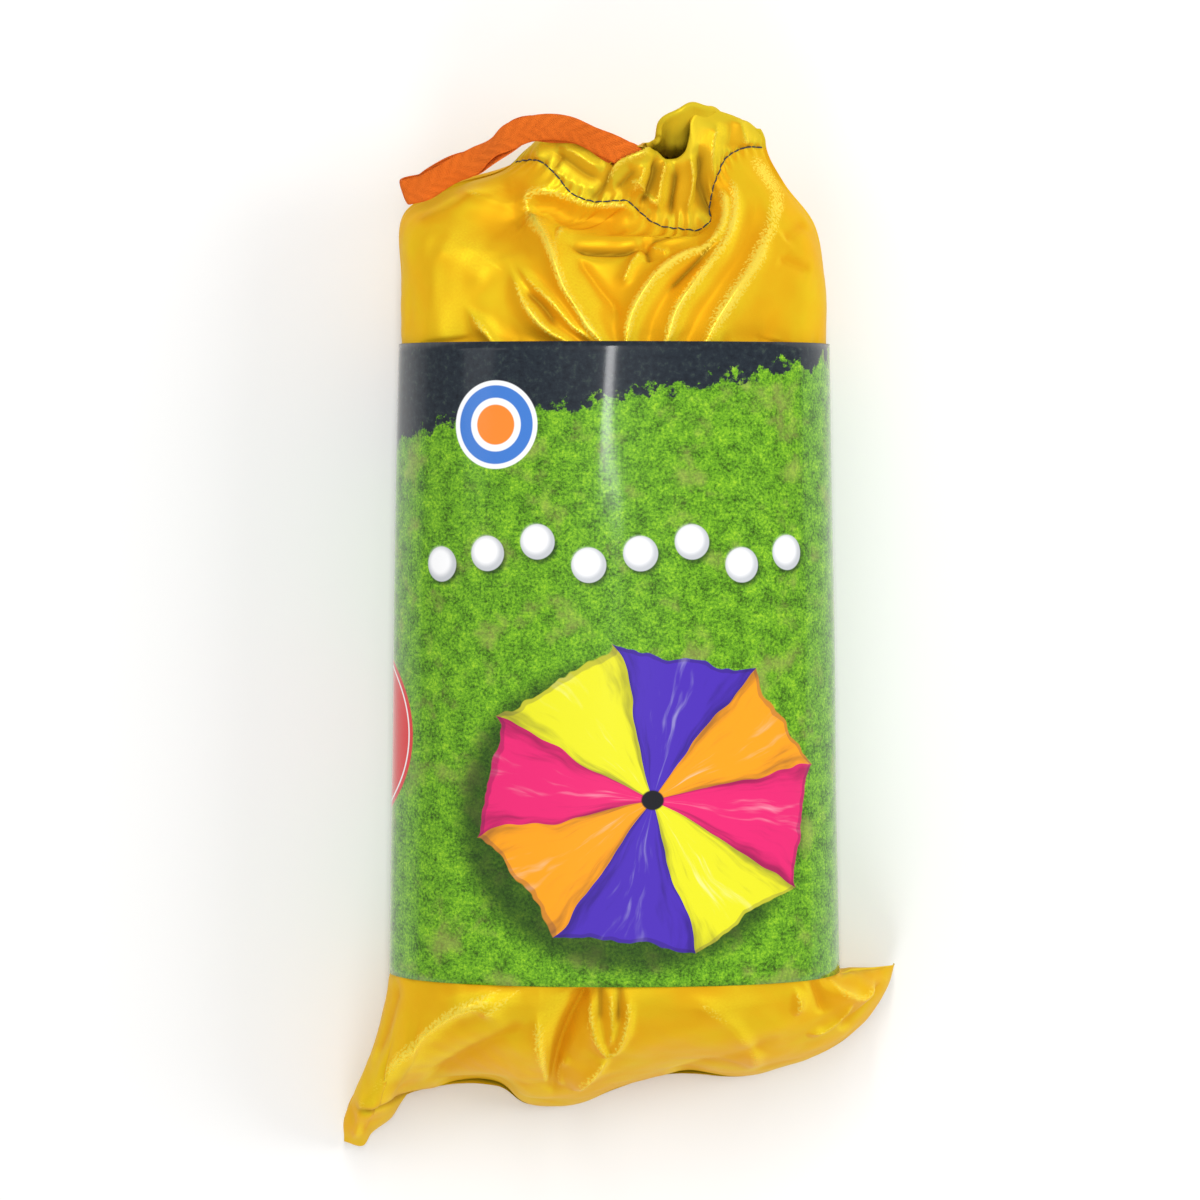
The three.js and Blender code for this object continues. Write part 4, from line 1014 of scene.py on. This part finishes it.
class Print:
    """Layers of the sleeve's picture, from the grass up, on one material's wires."""

    def __init__(self, wires, place):
        self.wires = wires
        self.x, self.y = (axis * 1000.0 for axis in place.split())
        self.place = wires.join(self.x, self.y)

    def noise(self, *values):
        return self.wires.noise(self.place, *values)

    def off(self, centre, squash=1.0):
        return self.x - centre[0], (self.y - centre[1]) / squash

    def away(self, centre, squash=1.0):
        return hypotenuse(*self.off(centre, squash))

    def grass(self):
        """Blades and tufts of grass with some dry patches."""
        base = chosen("grass")
        mass = self.noise(0.9, 6.0, 0.75) * 0.66 + self.noise(0.16, 4.0, 0.6) * 0.34
        green = self.wires.ramp(mass, [
            (0.34, scaled(base, 0.10)), (0.43, scaled(base, 0.45)), (0.50, base),
            (0.57, scaled(base, 1.9, 1.5, 1.4)), (0.66, scaled(base, 3.6, 2.1, 2.6))])
        return (self.noise(0.05, 3.0, 0.6).sharp(0.52, 0.70) * 0.5).mix(green, (0.34, 0.36, 0.09))

    def foliage(self, below):
        """Ragged dark foliage along the upper edge."""
        edge = self.y + self.noise(0.11, 8.0, 0.68) * 36.0 + self.x * -0.16
        dark = self.wires.ramp(self.noise(0.35, 6.0, 0.7), [
            (0.30, (0.006, 0.009, 0.016)), (0.55, (0.016, 0.024, 0.034)), (0.75, (0.05, 0.075, 0.06))])
        return edge.sharp(FOLIAGE_EDGE_Y - 1.0, FOLIAGE_EDGE_Y + 1.0).mix(below, dark)

    def canopy(self, below):
        """The opened play parachute seen from above, its gores round a dark centre, with its cast shadow."""
        shadow = self.away(CANOPY_SHADOW_PLACE, CANOPY_SQUASH).sharp(CANOPY_RADIUS + 4, CANOPY_RADIUS - 7)
        picture = (shadow * 0.8).mix(below, (0.012, 0.035, 0.006))
        off_x, off_y = self.off(CANOPY_PLACE, CANOPY_SQUASH)
        radius = hypotenuse(off_x, off_y)
        angle = off_y.calc("ARCTAN2", off_x) + (self.noise(0.03) - 0.5) * 0.34
        turn = (angle * (1 / (2 * math.pi)) + (CANOPY_TURN + 1)).calc("FRACT")
        stops = [(i / 8, chosen(name)) for i, name in enumerate(GORE_COLOURS * 2)]
        cloth = self.wires.ramp(turn, stops, "CONSTANT")
        ripples = self.wires.noise(self.wires.join(turn * 46.0, radius * 0.022), 1.6, 3.0, 0.55)
        middle = ((turn * 8.0).calc("FRACT") * math.pi).calc("SINE")
        light = ripples * 0.8 + middle * 0.35
        cloth = (light.sharp(0.62, 0.28) * 0.55).mix(cloth, (0.01, 0.005, 0.03))
        cloth = (light.sharp(0.74, 1.05) * 0.42).mix(cloth, (1, 1, 1))
        rim = radius + middle.calc("POWER", 0.7) * 7.0 + (self.noise(0.07) - 0.5) * 9.0
        inside = within(rim, CANOPY_RADIUS)
        picture = inside.mix(picture, cloth)
        hem = inside * rim.sharp(CANOPY_RADIUS - 2.0, CANOPY_RADIUS - 1.4)
        picture = (hem * 0.35).mix(picture, (0.02, 0.01, 0.05))
        return within(radius, 4.2, 0.4).mix(picture, (0.012, 0.012, 0.016))

    def balls(self, below):
        """A row of plain white balls in the air over the grass, each with a soft grey side and shadow."""
        step = self.x / BALL_PITCH
        off_x = (step.calc("FRACT") - 0.5) * BALL_PITCH
        off_y = self.y - BALL_ROW_Y - (step.calc("FLOOR") * 2.1).calc("SINE") * 5.0
        in_row = step.calc("ABSOLUTE").calc("LESS_THAN", 4.0)
        picture = below
        for shift_x, shift_y, radius, blur, strength, colour in (
                (0.9, -1.4, BALL_RADIUS, 1.3, 0.75, (0.01, 0.02, 0.008)),
                (0, 0, BALL_RADIUS, 0.2, 1, (0.55, 0.57, 0.60)),
                (-0.7, 0.9, BALL_RADIUS - 1.5, 1.5, 1, (0.96, 0.96, 0.97))):
            disc = within(hypotenuse(off_x - shift_x, off_y - shift_y), radius, blur)
            picture = (disc * in_row * strength).mix(picture, colour)
        return picture

    def badge(self, below):
        """A plain ringed disc over the foliage."""
        away = self.away(BADGE_PLACE)
        picture = below
        for inset, colour in ((0, PRINT_WHITE), (1.8, (0.055, 0.20, 0.62)), (6.5, PRINT_WHITE),
                              (9.0, (0.9, 0.25, 0.03))):
            picture = within(away, BADGE_RADIUS - inset).mix(picture, colour)
        return picture

    def red_disc(self, below):
        """A plain red disc with a thin white ring."""
        away = self.away(RED_DISC_PLACE)
        ring = within(away, RED_DISC_RADIUS - 2.2) * away.sharp(RED_DISC_RADIUS - 3.2, RED_DISC_RADIUS - 2.9)
        return ring.mix(within(away, RED_DISC_RADIUS).mix(below, (0.70, 0.016, 0.02)), (0.93, 0.93, 0.93))


def print_material(name):
    """Four-colour print on card under a clear gloss film."""
    material, wires, place = new_material(name)
    picture = Print(wires, place)
    colour = picture.grass()
    for layer in (picture.foliage, picture.canopy, picture.balls, picture.badge, picture.red_disc):
        colour = layer(colour)
    fibre = wires.noise(place, 700.0)
    height = wires.noise(place, 22.0, 2.0, 0.4) + fibre * 0.01
    return surface(material, wires, colour, fibre * 0.10 + 0.30, Normal=wires.bump(height, 0.12, 0.0015),
                   IOR=1.2, Coat_Weight=0.8, Coat_IOR=1.35, Coat_Roughness=0.10)


def floor_material(name):
    material, wires, _ = new_material(name)
    return surface(material, wires, (0.93, 0.93, 0.93), 0.9, Specular_IOR_Level=0.1)


# Pieces

def finish_piece(made, body, materials, nodes=()):
    for material in materials:
        made.data.materials.append(material)
    if nodes:
        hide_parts(*nodes)
    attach(made, body)
    return made


def material_once(name, make, *values):
    return bpy.data.materials.get(name) or make(name, *values)


def orange_tape():
    return material_once("orange_webbing", tape_material, chosen("tape"), DRAWSTRING_RIB)


# The free loop of tape: its upper leg from under the lobe of the hem over to the left shoulder. There it
# folds back, and its lower leg follows under the upper one.
UPPER_LEG = [
    6.6, 180.8, 84.4, 3, 183, 86, -1.6, 185.4, 87, -9.7, 188.9, 87.6, -19, 192.9, 87.2, -26.2, 193.9, 86.2,
    -33, 193.3, 85, -41, 190.8, 83.2, -46.5, 187.6, 82, -52.6, 183.7, 80.6, -56.5, 180.9, 79.2, -62, 178.4,
    77.2, -68.5, 174.8, 75.6, -74, 171.8, 74.4, -80.4, 170.2, 72.6,
]
TAPE_FACE = np.array((0.10, 1.0, 0.42))
# The twist of the legs in degrees, round a place in metres, and their slight waver
TAPE_TWIST, TAPE_TWIST_X, TAPE_TWIST_REACH = 64, -0.0475, 0.0075
TAPE_WAVER, TAPE_WAVES = 9, 21
LEG_STEPS = 110
# Gap between the legs at the slit and at their turn, and how far the lower leg lies aside, in millimetres
LEG_GAP, LEG_SHIFT = (3.4, 4.6), 1.5
# Shares along the legs at which the gap starts to widen and the shift comes and goes
GAP_START, SHIFT_START, SHIFT_END = 0.72, (0.02, 0.12), (0.5, 0.36)
TURN_STEPS = 10
TAPE_SIDES = 20
TAPE_CUP = 0.00035
# Powers that square the tape's section across and through it
TAPE_CORNERS = (0.45, 0.8)


def tape_loop_route():
    """Middle line of the free loop, and the way its width lies at each place."""
    leg = even_curve(line(UPPER_LEG, 3), LEG_STEPS)
    share = np.linspace(0, 1, LEG_STEPS)
    along = unit(np.gradient(leg, axis=0))
    face = unit(TAPE_FACE - along * (along @ TAPE_FACE)[:, None])
    twist = math.radians(TAPE_TWIST) * bell((leg[:, 0] - TAPE_TWIST_X) / TAPE_TWIST_REACH)
    twist += math.radians(TAPE_WAVER) * np.sin(share * TAPE_WAVES) * faded(0.1, 0.1, share)
    across = face * np.cos(twist)[:, None] + np.cross(along, face) * np.sin(twist)[:, None]
    down = np.cross(across, along)
    down *= -np.sign(down[:, 2:])
    gap = mm(LEG_GAP[0]) + mm(LEG_GAP[1] - LEG_GAP[0]) * smooth_step(GAP_START, 1, share)
    shift = mm(LEG_SHIFT) * smooth_step(*SHIFT_START, share) * smooth_step(*SHIFT_END, share)
    back = leg + down * gap[:, None] - across * shift[:, None]
    middle, radius = (leg[-1] + back[-1]) / 2, gap[-1] / 2
    turn = [middle + radius * (along[-1] * math.sin(angle) - down[-1] * math.cos(angle))
            for angle in np.linspace(0, math.pi, TURN_STEPS)[1:-1]]
    at_turn = np.repeat(across[-1:], len(turn), axis=0)
    return np.concatenate([leg, turn, back[::-1]]), np.concatenate([across, at_turn, across[::-1]])


def tape_along(name, route, across):
    """A flat woven tape along a route, its width along across, with round selvedges and a slight cup."""
    along = unit(np.gradient(route, axis=0))
    across = unit(across - along * np.sum(across * along, axis=1, keepdims=True))
    angle = 2 * math.pi * (np.arange(TAPE_SIDES) + 0.5) / TAPE_SIDES
    wide = rounded_cosine(angle, TAPE_CORNERS[0])
    deep = (-rounded_cosine(angle + math.pi / 2, TAPE_CORNERS[1]) * TAPE_THICKNESS / 2
            + TAPE_CUP * wide ** 2)
    wide = wide * TAPE_WIDTH / 2
    points = (route[:, None] + across[:, None] * wide[:, None]
              + np.cross(along, across)[:, None] * deep[:, None])
    uv = stacked(run_length(route)[:, None], wide[None, :])
    return recalculate_outward(new_object(name, points, tube_faces(len(route), TAPE_SIDES), uv))


class PARACHUTE_OT_tape_loop(bpy.types.Operator):
    """Free loop of orange tape at the mouth of the bag"""

    bl_idname = "parachute.tape_loop"
    bl_label = "Tape loop"

    def execute(self, context):
        route, across = tape_loop_route()
        made = tape_along("drawstring_tape_loop", route, across)
        finish_piece(made, "bag", [orange_tape()], ["drawstring_loop"])
        round(float(run_length(route)[-1]), 3)
        return {"FINISHED"}


class PARACHUTE_OT_bag(bpy.types.Operator):
    """Front and back panels of the satin bag, with the tape in their channel and its stitching"""

    bl_idname = "parachute.bag"
    bl_label = "Satin bag"

    def execute(self, context):
        satin = material_once("yellow_satin", satin_material)
        thread = material_once("dark_thread", thread_material)
        strips = []
        for side, name in ((FRONT, "front"), (BACK, "back")):
            made, points = bag_panel(side, f"bag_{name}_cloth")
            finish_piece(made, "bag", [satin], [f"bag_{name}"])
            finish_piece(stitch_run(f"channel_stitching_{name}", points, side), "bag", [thread])
            strips.append(channel_strip(points, side))
        tape = channel_tape(*strips)
        finish_piece(tape, "bag", [orange_tape()], ["drawstring_channel_run"])
        return {"FINISHED"}


# Each stitch has five rings of thread: their places along it, their lifts and their radii
THREAD_RADIUS = 0.00030
STITCH_PLACES = np.array([0, 0.12, 0.5, 0.88, 1])
STITCH_LIFTS = THREAD_RADIUS * np.array([-0.1, 0.6, 0.9, 0.6, -0.1])[:, None]
STITCH_RADII = THREAD_RADIUS * np.array([0.55, 0.9, 1.0, 0.9, 0.55])[:, None]
STITCH_SIDES = 6
STITCH_START = 0.002


def stitch_run(name, points, side):
    """One row of stitches along the stitch row of the cloth, which dip in at both ends."""
    row, normals = points[STITCH_ROW], grid_normals(points)[STITCH_ROW] * side
    known = run_length(row)
    pitch = sizes().stitch_length + sizes().stitch_gap
    angle = 2 * math.pi * np.arange(STITCH_SIDES) / STITCH_SIDES
    lift, wide = STITCH_LIFTS + STITCH_RADII * np.sin(angle), STITCH_RADII * np.cos(angle)
    vertices, faces, uv = [], [], []
    for i in range(int((known[-1] - 2 * STITCH_START) / pitch)):
        places = STITCH_START + i * pitch + sizes().stitch_length * STITCH_PLACES
        middle, out = between(places, known, row), between(places, known, normals)
        beside = np.cross(unit(middle[-1] - middle[0]), out[2])
        vertices.append(middle[:, None] + out[:, None] * lift[..., None] + beside * wide[..., None])
        uv.append(stacked(places[:, None], angle[None, :] / (2 * math.pi)))
        faces += tube_faces(len(places), STITCH_SIDES, i * wide.size)
    return recalculate_outward(new_object(name, vertices, faces, uv))


# The tape in the channel leaves free the stretch between these places on the front
TAPE_TAIL_X = (-0.021, 0.003)
STRIP_ROWS = 9
# It keeps clear of a side seam within this share of the way across, and fills this share of the channel
SEAM_CLEARANCE, NEAR_SEAM, CHANNEL_FILL = 0.004, 0.08, 0.8


def channel_strip(points, side):
    """Rows of one panel's channel that the tape lies under, with the way in to it."""
    turns = panel_turns(side)
    inward = -grid_normals(points) * side
    points = points.copy()
    inwards = smooth_step(NEAR_SEAM, 0, turns) - smooth_step(1 - NEAR_SEAM, 1, turns)
    points[..., 0] += SEAM_CLEARANCE * inwards
    height = run_length(points[STITCH_ROW:])
    width = min(TAPE_WIDTH, CHANNEL_FILL * height[-1])
    wanted = height[-1] / 2 + np.linspace(-0.5, 0.5, STRIP_ROWS) * width
    place = np.interp(wanted, height, np.arange(STITCH_ROW, len(points)))
    low = np.floor(place).astype(int)
    share = (place - low)[:, None, None]
    grid = np.concatenate([points, inward], axis=-1)
    return grid[low] * (1 - share) + grid[low + 1] * share


def channel_tape(front, back):
    """The tape inside the channel, from the slit round the mouth and back, following the hem's folds."""
    middle_x = front[len(front) // 2, :, 0]
    strip = np.concatenate([front[:, middle_x > TAPE_TAIL_X[1]], back[:, ::-1][:, 1:-1],
                            front[:, middle_x < TAPE_TAIL_X[0]]], axis=1)
    place, inward = strip[..., :3], strip[..., 3:]
    sink = sizes().cloth_thickness + CHANNEL_SPACE / 2
    outer, inner = (place + inward * (sink + half) for half in (-TAPE_THICKNESS / 2, TAPE_THICKNESS / 2))
    across = np.linspace(-TAPE_WIDTH / 2, TAPE_WIDTH / 2, STRIP_ROWS)
    uv = stacked(run_length(place[STRIP_ROWS // 2])[None, :], across[:, None])
    return shell_object("drawstring_tape_run", outer, inner, uv)


SLEEVE_COLUMNS, SLEEVE_ROWS = 460, 72
LAP_CLEARANCE = 0.00003
# Angles before the inner lap edge between which the card dips under the other end
LAP_DIP = (0.36, 0.24)
# Waves of the card: wavelength, seed, stretch along the sleeve and share
CARD_WAVES = [(0.06, 5, 0.45, 1), (0.024, 9, 0.2, 0.6)]


def sleeve_face():
    """Outer side of the card strip, from its outer lap edge once round to its inner lap edge."""
    def lap_angle(x):
        reach = (SLEEVE_CENTRE_X - x) / (SLEEVE_BOTTOM_WIDTH / 2)
        return 2 * math.pi - math.acos(math.copysign(abs(reach) ** (ROUNDNESS / 2), reach))

    outer_edge = lap_angle(GLUE_LAP_X + GLUE_LAP_WIDTH / 2)
    inner_edge = lap_angle(GLUE_LAP_X - GLUE_LAP_WIDTH / 2) + 2 * math.pi
    angles = np.linspace(outer_edge, inner_edge, SLEEVE_COLUMNS)
    turn = (angles / math.pi) % 2
    half_turn = np.where(turn <= 1, turn, 2 - turn)
    rings = [sleeve_ring(y, 0.0, 0.0) for y in np.linspace(SLEEVE_BOTTOM_Y, SLEEVE_TOP_Y, SLEEVE_ROWS)]
    outer = np.stack([np.where(turn[:, None] <= 1, ring_line(ring, FRONT, half_turn),
                               ring_line(ring, BACK, half_turn)) for ring in rings])
    lapped = smooth_step(inner_edge - LAP_DIP[0], inner_edge - LAP_DIP[1], angles)
    wave = sum(share * ripple(outer * (1.0, stretch, 1.0), wavelength, seed)
               for wavelength, seed, stretch, share in CARD_WAVES)
    on_floor = smooth_step(0.0005, 0.004, outer[..., 2])
    move = wave * sizes().board_wave * 0.6 * on_floor - lapped * (CARD_THICKNESS + LAP_CLEARANCE)
    outer = outer + grid_normals(outer) * move[..., None]
    outer[..., 2] = np.maximum(outer[..., 2], 0.0)
    return outer


def wrapped_sheet(name, face, uv):
    """A flat grid, added as a primitive, whose rows and columns are laid on the places in face."""
    rows, columns = face.shape[:2]
    bpy.ops.object.select_all(action="DESELECT")
    bpy.ops.mesh.primitive_grid_add(x_subdivisions=columns - 1, y_subdivisions=rows - 1, size=1,
                                    calc_uvs=False, location=(0, 0, 0))
    made = bpy.context.object
    made.name = made.data.name = name
    flat = np.zeros(3 * len(made.data.vertices), np.float32)
    made.data.vertices.foreach_get("co", flat)
    column, row = np.rint((flat.reshape(-1, 3)[:, :2] + 0.5) * (columns - 1, rows - 1)).astype(int).T
    made.data.vertices.foreach_set("co", face[row, column].astype(np.float32).ravel())
    lay_uv(made.data, uv[row, column])
    bpy.ops.object.shade_smooth()
    made.data.update()
    return made


class PARACHUTE_OT_sleeve(bpy.types.Operator):
    """Glossy printed card sleeve round the bag"""

    bl_idname = "parachute.sleeve"
    bl_label = "Printed sleeve"

    def execute(self, context):
        outer = sleeve_face()
        around = run_length(outer, axis=1)
        middle = np.argmin(np.abs(outer[0, :, 0] - SLEEVE_CENTRE_X) - outer[0, :, 2])
        uv = stacked(around[None, :] - around[middle], outer[..., 1])
        made = wrapped_sheet("printed_sleeve", outer, uv)
        wall = made.modifiers.new("card", "SOLIDIFY")
        wall.thickness, wall.offset = CARD_THICKNESS, -1
        bpy.ops.object.modifier_apply(modifier=wall.name)
        # The one material covers the inner side and the cut edges too
        printed = material_once("sleeve_print", print_material)
        finish_piece(made, "sleeve", [printed], ["card_sleeve"])
        return {"FINISHED"}


# Folded canopy: shares of the full width, and heights of its top and bottom, at stations along it
BUNDLE_BOTTOM_Y, BUNDLE_TOP_Y = -0.141, 0.146
BUNDLE_STATIONS = [BUNDLE_BOTTOM_Y, -0.1345, SLEEVE_BOTTOM_Y, -0.116, 0.095, SLEEVE_TOP_Y, 0.1295,
                   BUNDLE_TOP_Y]
BUNDLE_WIDTHS = [0.74, 0.91, 0.99, 1.0, 1.0, 0.99, 0.94, 0.82]
BUNDLE_CRESTS = [0.0768, 0.0888, 0.0978, 0.1035, 0.1038, 0.0980, 0.0920, 0.0790]
BUNDLE_FLOORS = [0.0055, 0.0035, 0.0030, 0.0025, 0.0025, 0.0030, 0.0060, 0.0115]
BUNDLE_INSET = 0.0036
GORE_ROWS, GORE_ACROSS = 26, 18
GORE_GAP = 0.0003
NARROWEST_LAYER = 0.012
# How uneven the layers' ends are, as a share of their half width, and how wavy they are, of their pitch
LAYER_JOG, LAYER_SAG = 0.02, 0.12


def bundle_at(y, values):
    return np.interp(y, BUNDLE_STATIONS, values)


def bundle_half_width(y, z):
    """Half width of the folded canopy at a place along it and a height."""
    along = np.clip((y - SLEEVE_BOTTOM_Y) / (SLEEVE_TOP_Y - SLEEVE_BOTTOM_Y), 0, 1)
    half = (sleeve_half(along) - BUNDLE_INSET) * bundle_at(y, BUNDLE_WIDTHS)
    crest, floor = bundle_at(y, BUNDLE_CRESTS), bundle_at(y, BUNDLE_FLOORS)
    rise = np.where(z > MIDDLE_Z, (z - MIDDLE_Z) / (crest - MIDDLE_Z), (MIDDLE_Z - z) / (MIDDLE_Z - floor))
    return half * np.maximum(1 - np.clip(rise, 0, 1) ** ROUNDNESS, 0.02) ** (1 / ROUNDNESS)


def folded_gore(name, low, high, index):
    """One gore folded to and fro in layers as one sheet, between two shares of the bundle's height."""
    y = np.linspace(BUNDLE_BOTTOM_Y + 0.001, BUNDLE_TOP_Y - 0.001, GORE_ROWS)
    floor, depth = bundle_at(y, BUNDLE_FLOORS), bundle_at(y, BUNDLE_CRESTS) - bundle_at(y, BUNDLE_FLOORS)
    mean_width = 2 * bundle_half_width(y[None, :], floor + depth * np.linspace(low, high, 9)[:, None]).mean()
    layers = round(sizes().gore_area / (mean_width * (y[-1] - y[0])))
    pitch = (high - low) / layers * depth
    path = []
    for layer in range(layers):
        z = floor + depth * (low + (high - low) * (layer + 0.5) / layers)
        jog = 1 - LAYER_JOG * (1 + np.sin(3.1 * layer + 70 * y + index))
        half = np.maximum(bundle_half_width(y, z) * jog - pitch, NARROWEST_LAYER)
        way = 1 if layer % 2 == 0 else -1
        for share in np.linspace(-1, 1, GORE_ACROSS):
            sag = LAYER_SAG * pitch * np.sin(5 * share + 30 * y + layer)
            path.append(stacked(SLEEVE_CENTRE_X + way * share * half, y, z + sag))
        if layer < layers - 1:
            for bend in np.radians((-45, 0, 45)):
                x = SLEEVE_CENTRE_X + way * (half + 0.5 * pitch * math.cos(bend))
                path.append(stacked(x, y, z + 0.5 * pitch * (1 + math.sin(bend))))
    points = np.stack(path, axis=1)
    uv = stacked(run_length(points, axis=1)[None, :], y[:, None])
    return new_object(name, points, grid_faces(*points.shape[:2]), uv)


# The patch: clearance from its node's top and bottom, share of its rise at its edge, share of it inside
PATCH_CLEARANCE, PATCH_EDGE, PATCH_INSIDE = 0.0004, 0.25, 0.72


def crown_patch():
    """Round cloth patch folded in half round the gathered point of the gores."""
    low, high = corners("crown_patch")
    middle, radius = (low + high) / 2, (high[0] - low[0]) / 2
    around, rings = np.linspace(0, math.pi, 33), np.linspace(0, 1, 9)[:, None]
    x, y = middle[0] + radius * rings * np.cos(around), high[1] - radius * rings * np.sin(around)
    pinch = np.sqrt(np.clip(rings * np.sin(around) * 3, 0, 1))
    rise = ((high[2] - low[2]) / 2 - PATCH_CLEARANCE) * (PATCH_EDGE + (1 - PATCH_EDGE) * pinch)
    outer, inner = (np.concatenate([stacked(x, y, middle[2] + rise * part),
                                    stacked(x, y, middle[2] - rise * part)[::-1]])
                    for part in (1, PATCH_INSIDE))
    return shell_object("crown_patch_cloth", outer, inner, outer[..., :2])


# Thickness of the handles' tape, their clearance from their node's sides and how far a sewn end swells
HANDLE_TAPE, HANDLE_CLEARANCE, HANDLE_SWELL = 0.0013, 0.0001, 0.00036


def handle_loop(node):
    """A loop of white tape, soft at its turn, with its two ends sewn flat."""
    low, high = corners(node)
    middle, height = (low + high) / 2, high[2] - low[2]
    radius = height / 2 - HANDLE_TAPE / 2 - HANDLE_CLEARANCE
    reach = high[1] - low[1] - height / 2 - 2 * HANDLE_CLEARANCE
    share, bend = np.linspace(0, 0.94, 9), np.linspace(-math.pi / 2, math.pi / 2, 15)
    under = stacked(share * reach, HANDLE_SWELL * np.sin(math.pi * share) - radius)
    turn = stacked(reach + radius * np.cos(bend), radius * np.sin(bend))
    route = np.concatenate([under, turn, under[::-1] * (1, -1)])
    step = unit(np.gradient(route, axis=0))
    side = stacked(step[:, 1], -step[:, 0]) * HANDLE_TAPE / 2
    x = np.linspace(low[0] + 2 * HANDLE_CLEARANCE, high[0] - 2 * HANDLE_CLEARANCE, 13)
    outer, inner = (stacked(x[None, :], low[1] + HANDLE_CLEARANCE + wall[:, :1], middle[2] + wall[:, 1:])
                    for wall in (route + side, route - side))
    uv = stacked(run_length(route)[:, None], x[None, :] - middle[0])
    return shell_object(f"{node}_tape", outer, inner, uv)


class PARACHUTE_OT_canopy(bpy.types.Operator):
    """Folded canopy: eight gores, the crown patch and the handles"""

    bl_idname = "parachute.canopy"
    bl_label = "Folded canopy"

    def execute(self, context):
        nodes = [f"gore_{colour}_{stack}" for stack in (1, 2) for colour in GORE_COLOURS]
        floor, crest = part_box(nodes[0])[0][2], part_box(nodes[-1])[1][2]
        for index, node in enumerate(nodes):
            colour = GORE_COLOURS[index % 4]
            ends = (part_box(node)[0][2] + GORE_GAP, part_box(node)[1][2] - GORE_GAP)
            made = folded_gore(f"{node}_cloth", *((z - floor) / (crest - floor) for z in ends), index)
            cloth = material_once(f"canopy_{colour}", canopy_material, chosen(colour))
            finish_piece(made, "bag", [cloth], [node])
        black = material_once("canopy_black", canopy_material, PATCH_BLACK)
        made = finish_piece(crown_patch(), "bag", [black], ["crown_patch"])
        white = material_once("white_webbing", tape_material, HANDLE_WHITE, HANDLE_RIB)
        for node in (f"handle_{index}" for index in range(1, 9)):
            finish_piece(handle_loop(node), "bag", [white], [node])
        return {"FINISHED"}


# Stage. Lights: name, place, aim, size, power and whether reflections show them. A strip has two sizes
CAMERA_PLACE, CAMERA_AIM, CAMERA_LENS = (-0.0075, 0.0725, 1.704), (-0.0075, 0.01485, 0.054), 128.7
WORLD_STRENGTH = 0.46
LIGHTS = [
    ("key_light", (0.0, 0.72, 1.75), (0, 0.06, 0.06), (0.14, 1.5), 15, True),
    ("left_light", (-1.3, 0.5, 1.3), (0, 0, 0.05), (0.9,), 2.5, True),
    ("right_light", (1.2, 0.25, 1.1), (0, 0, 0.05), (0.7,), 7.5, False),
    ("low_light", (-0.2, -1.3, 1.3), (0, -0.12, 0.03), (0.8,), 7, False),
]


def placed(name, data, place, aim):
    """An object at a place, its -Z towards aim and its +Y as far as possible towards +Y."""
    made = linked(name, data)
    back = (Vector(place) - Vector(aim)).normalized()
    right = Vector((0, 1, 0)).cross(back).normalized()
    turned = Matrix((right, back.cross(right).normalized(), back)).transposed()
    made.matrix_world = Matrix.LocRotScale(Vector(place), turned, None)
    return made


def area_light(name, place, aim, size, power, glossy):
    data = bpy.data.lights.new(name, "AREA")
    data.shape = "RECTANGLE" if len(size) == 2 else "DISK"
    data.size, data.size_y = size[0], size[-1]
    data.energy = power
    placed(name, data, place, aim).visible_glossy = glossy


class PARACHUTE_OT_stage(bpy.types.Operator):
    """Plain pale floor, soft lights and the camera"""

    bl_idname = "parachute.stage"
    bl_label = "Stage"

    def execute(self, context):
        scene = context.scene
        bpy.ops.object.select_all(action="DESELECT")
        bpy.ops.mesh.primitive_plane_add(size=6, location=(0, 0, 0))
        floor = context.object
        floor.name = "floor"
        floor.data.materials.append(material_once("pale_floor", floor_material))
        data = bpy.data.cameras.new("camera")
        data.lens, data.sensor_width, data.clip_end = CAMERA_LENS, 36, 20
        scene.camera = placed("camera", data, CAMERA_PLACE, CAMERA_AIM)
        scene.world = bpy.data.worlds.new("soft_white")
        scene.world.use_nodes = True
        background = scene.world.node_tree.nodes["Background"]
        background.inputs["Color"].default_value = (1, 1, 1, 1)
        background.inputs["Strength"].default_value = WORLD_STRENGTH
        for light in LIGHTS:
            area_light(*light)
        scene.view_settings.view_transform = "Standard"
        scene.view_settings.look = "None"
        return {"FINISHED"}


class PARACHUTE_PT_panel(bpy.types.Panel):
    """Sizes, colours and pieces in the sidebar"""

    bl_idname = "PARACHUTE_PT_panel"
    bl_label = "Play parachute"
    bl_space_type = "VIEW_3D"
    bl_region_type = "UI"
    bl_category = "Parachute"

    def draw(self, context):
        for group in (context.scene.parachute_sizes, context.scene.parachute_colours):
            box = self.layout.box()
            for name in group.__annotations__:
                box.prop(group, name)
        for operator in PIECES:
            self.layout.operator(operator.bl_idname)


PIECES = (PARACHUTE_OT_stage, PARACHUTE_OT_tape_loop, PARACHUTE_OT_bag, PARACHUTE_OT_sleeve,
          PARACHUTE_OT_canopy)
CLASSES = (ParachuteSizes, ParachuteColours, *PIECES, PARACHUTE_PT_panel)


def register():
    for one in CLASSES:
        bpy.utils.register_class(one)
    bpy.types.Scene.parachute_sizes = PointerProperty(type=ParachuteSizes)
    bpy.types.Scene.parachute_colours = PointerProperty(type=ParachuteColours)


def unregister():
    del bpy.types.Scene.parachute_colours
    del bpy.types.Scene.parachute_sizes
    for one in reversed(CLASSES):
        bpy.utils.unregister_class(one)


def main():
    register()
    bpy.ops.parachute.stage()
    bpy.ops.parachute.tape_loop()
    bpy.ops.parachute.bag()
    bpy.ops.parachute.sleeve()
    bpy.ops.parachute.canopy()


if __name__ == "__main__":
    main()
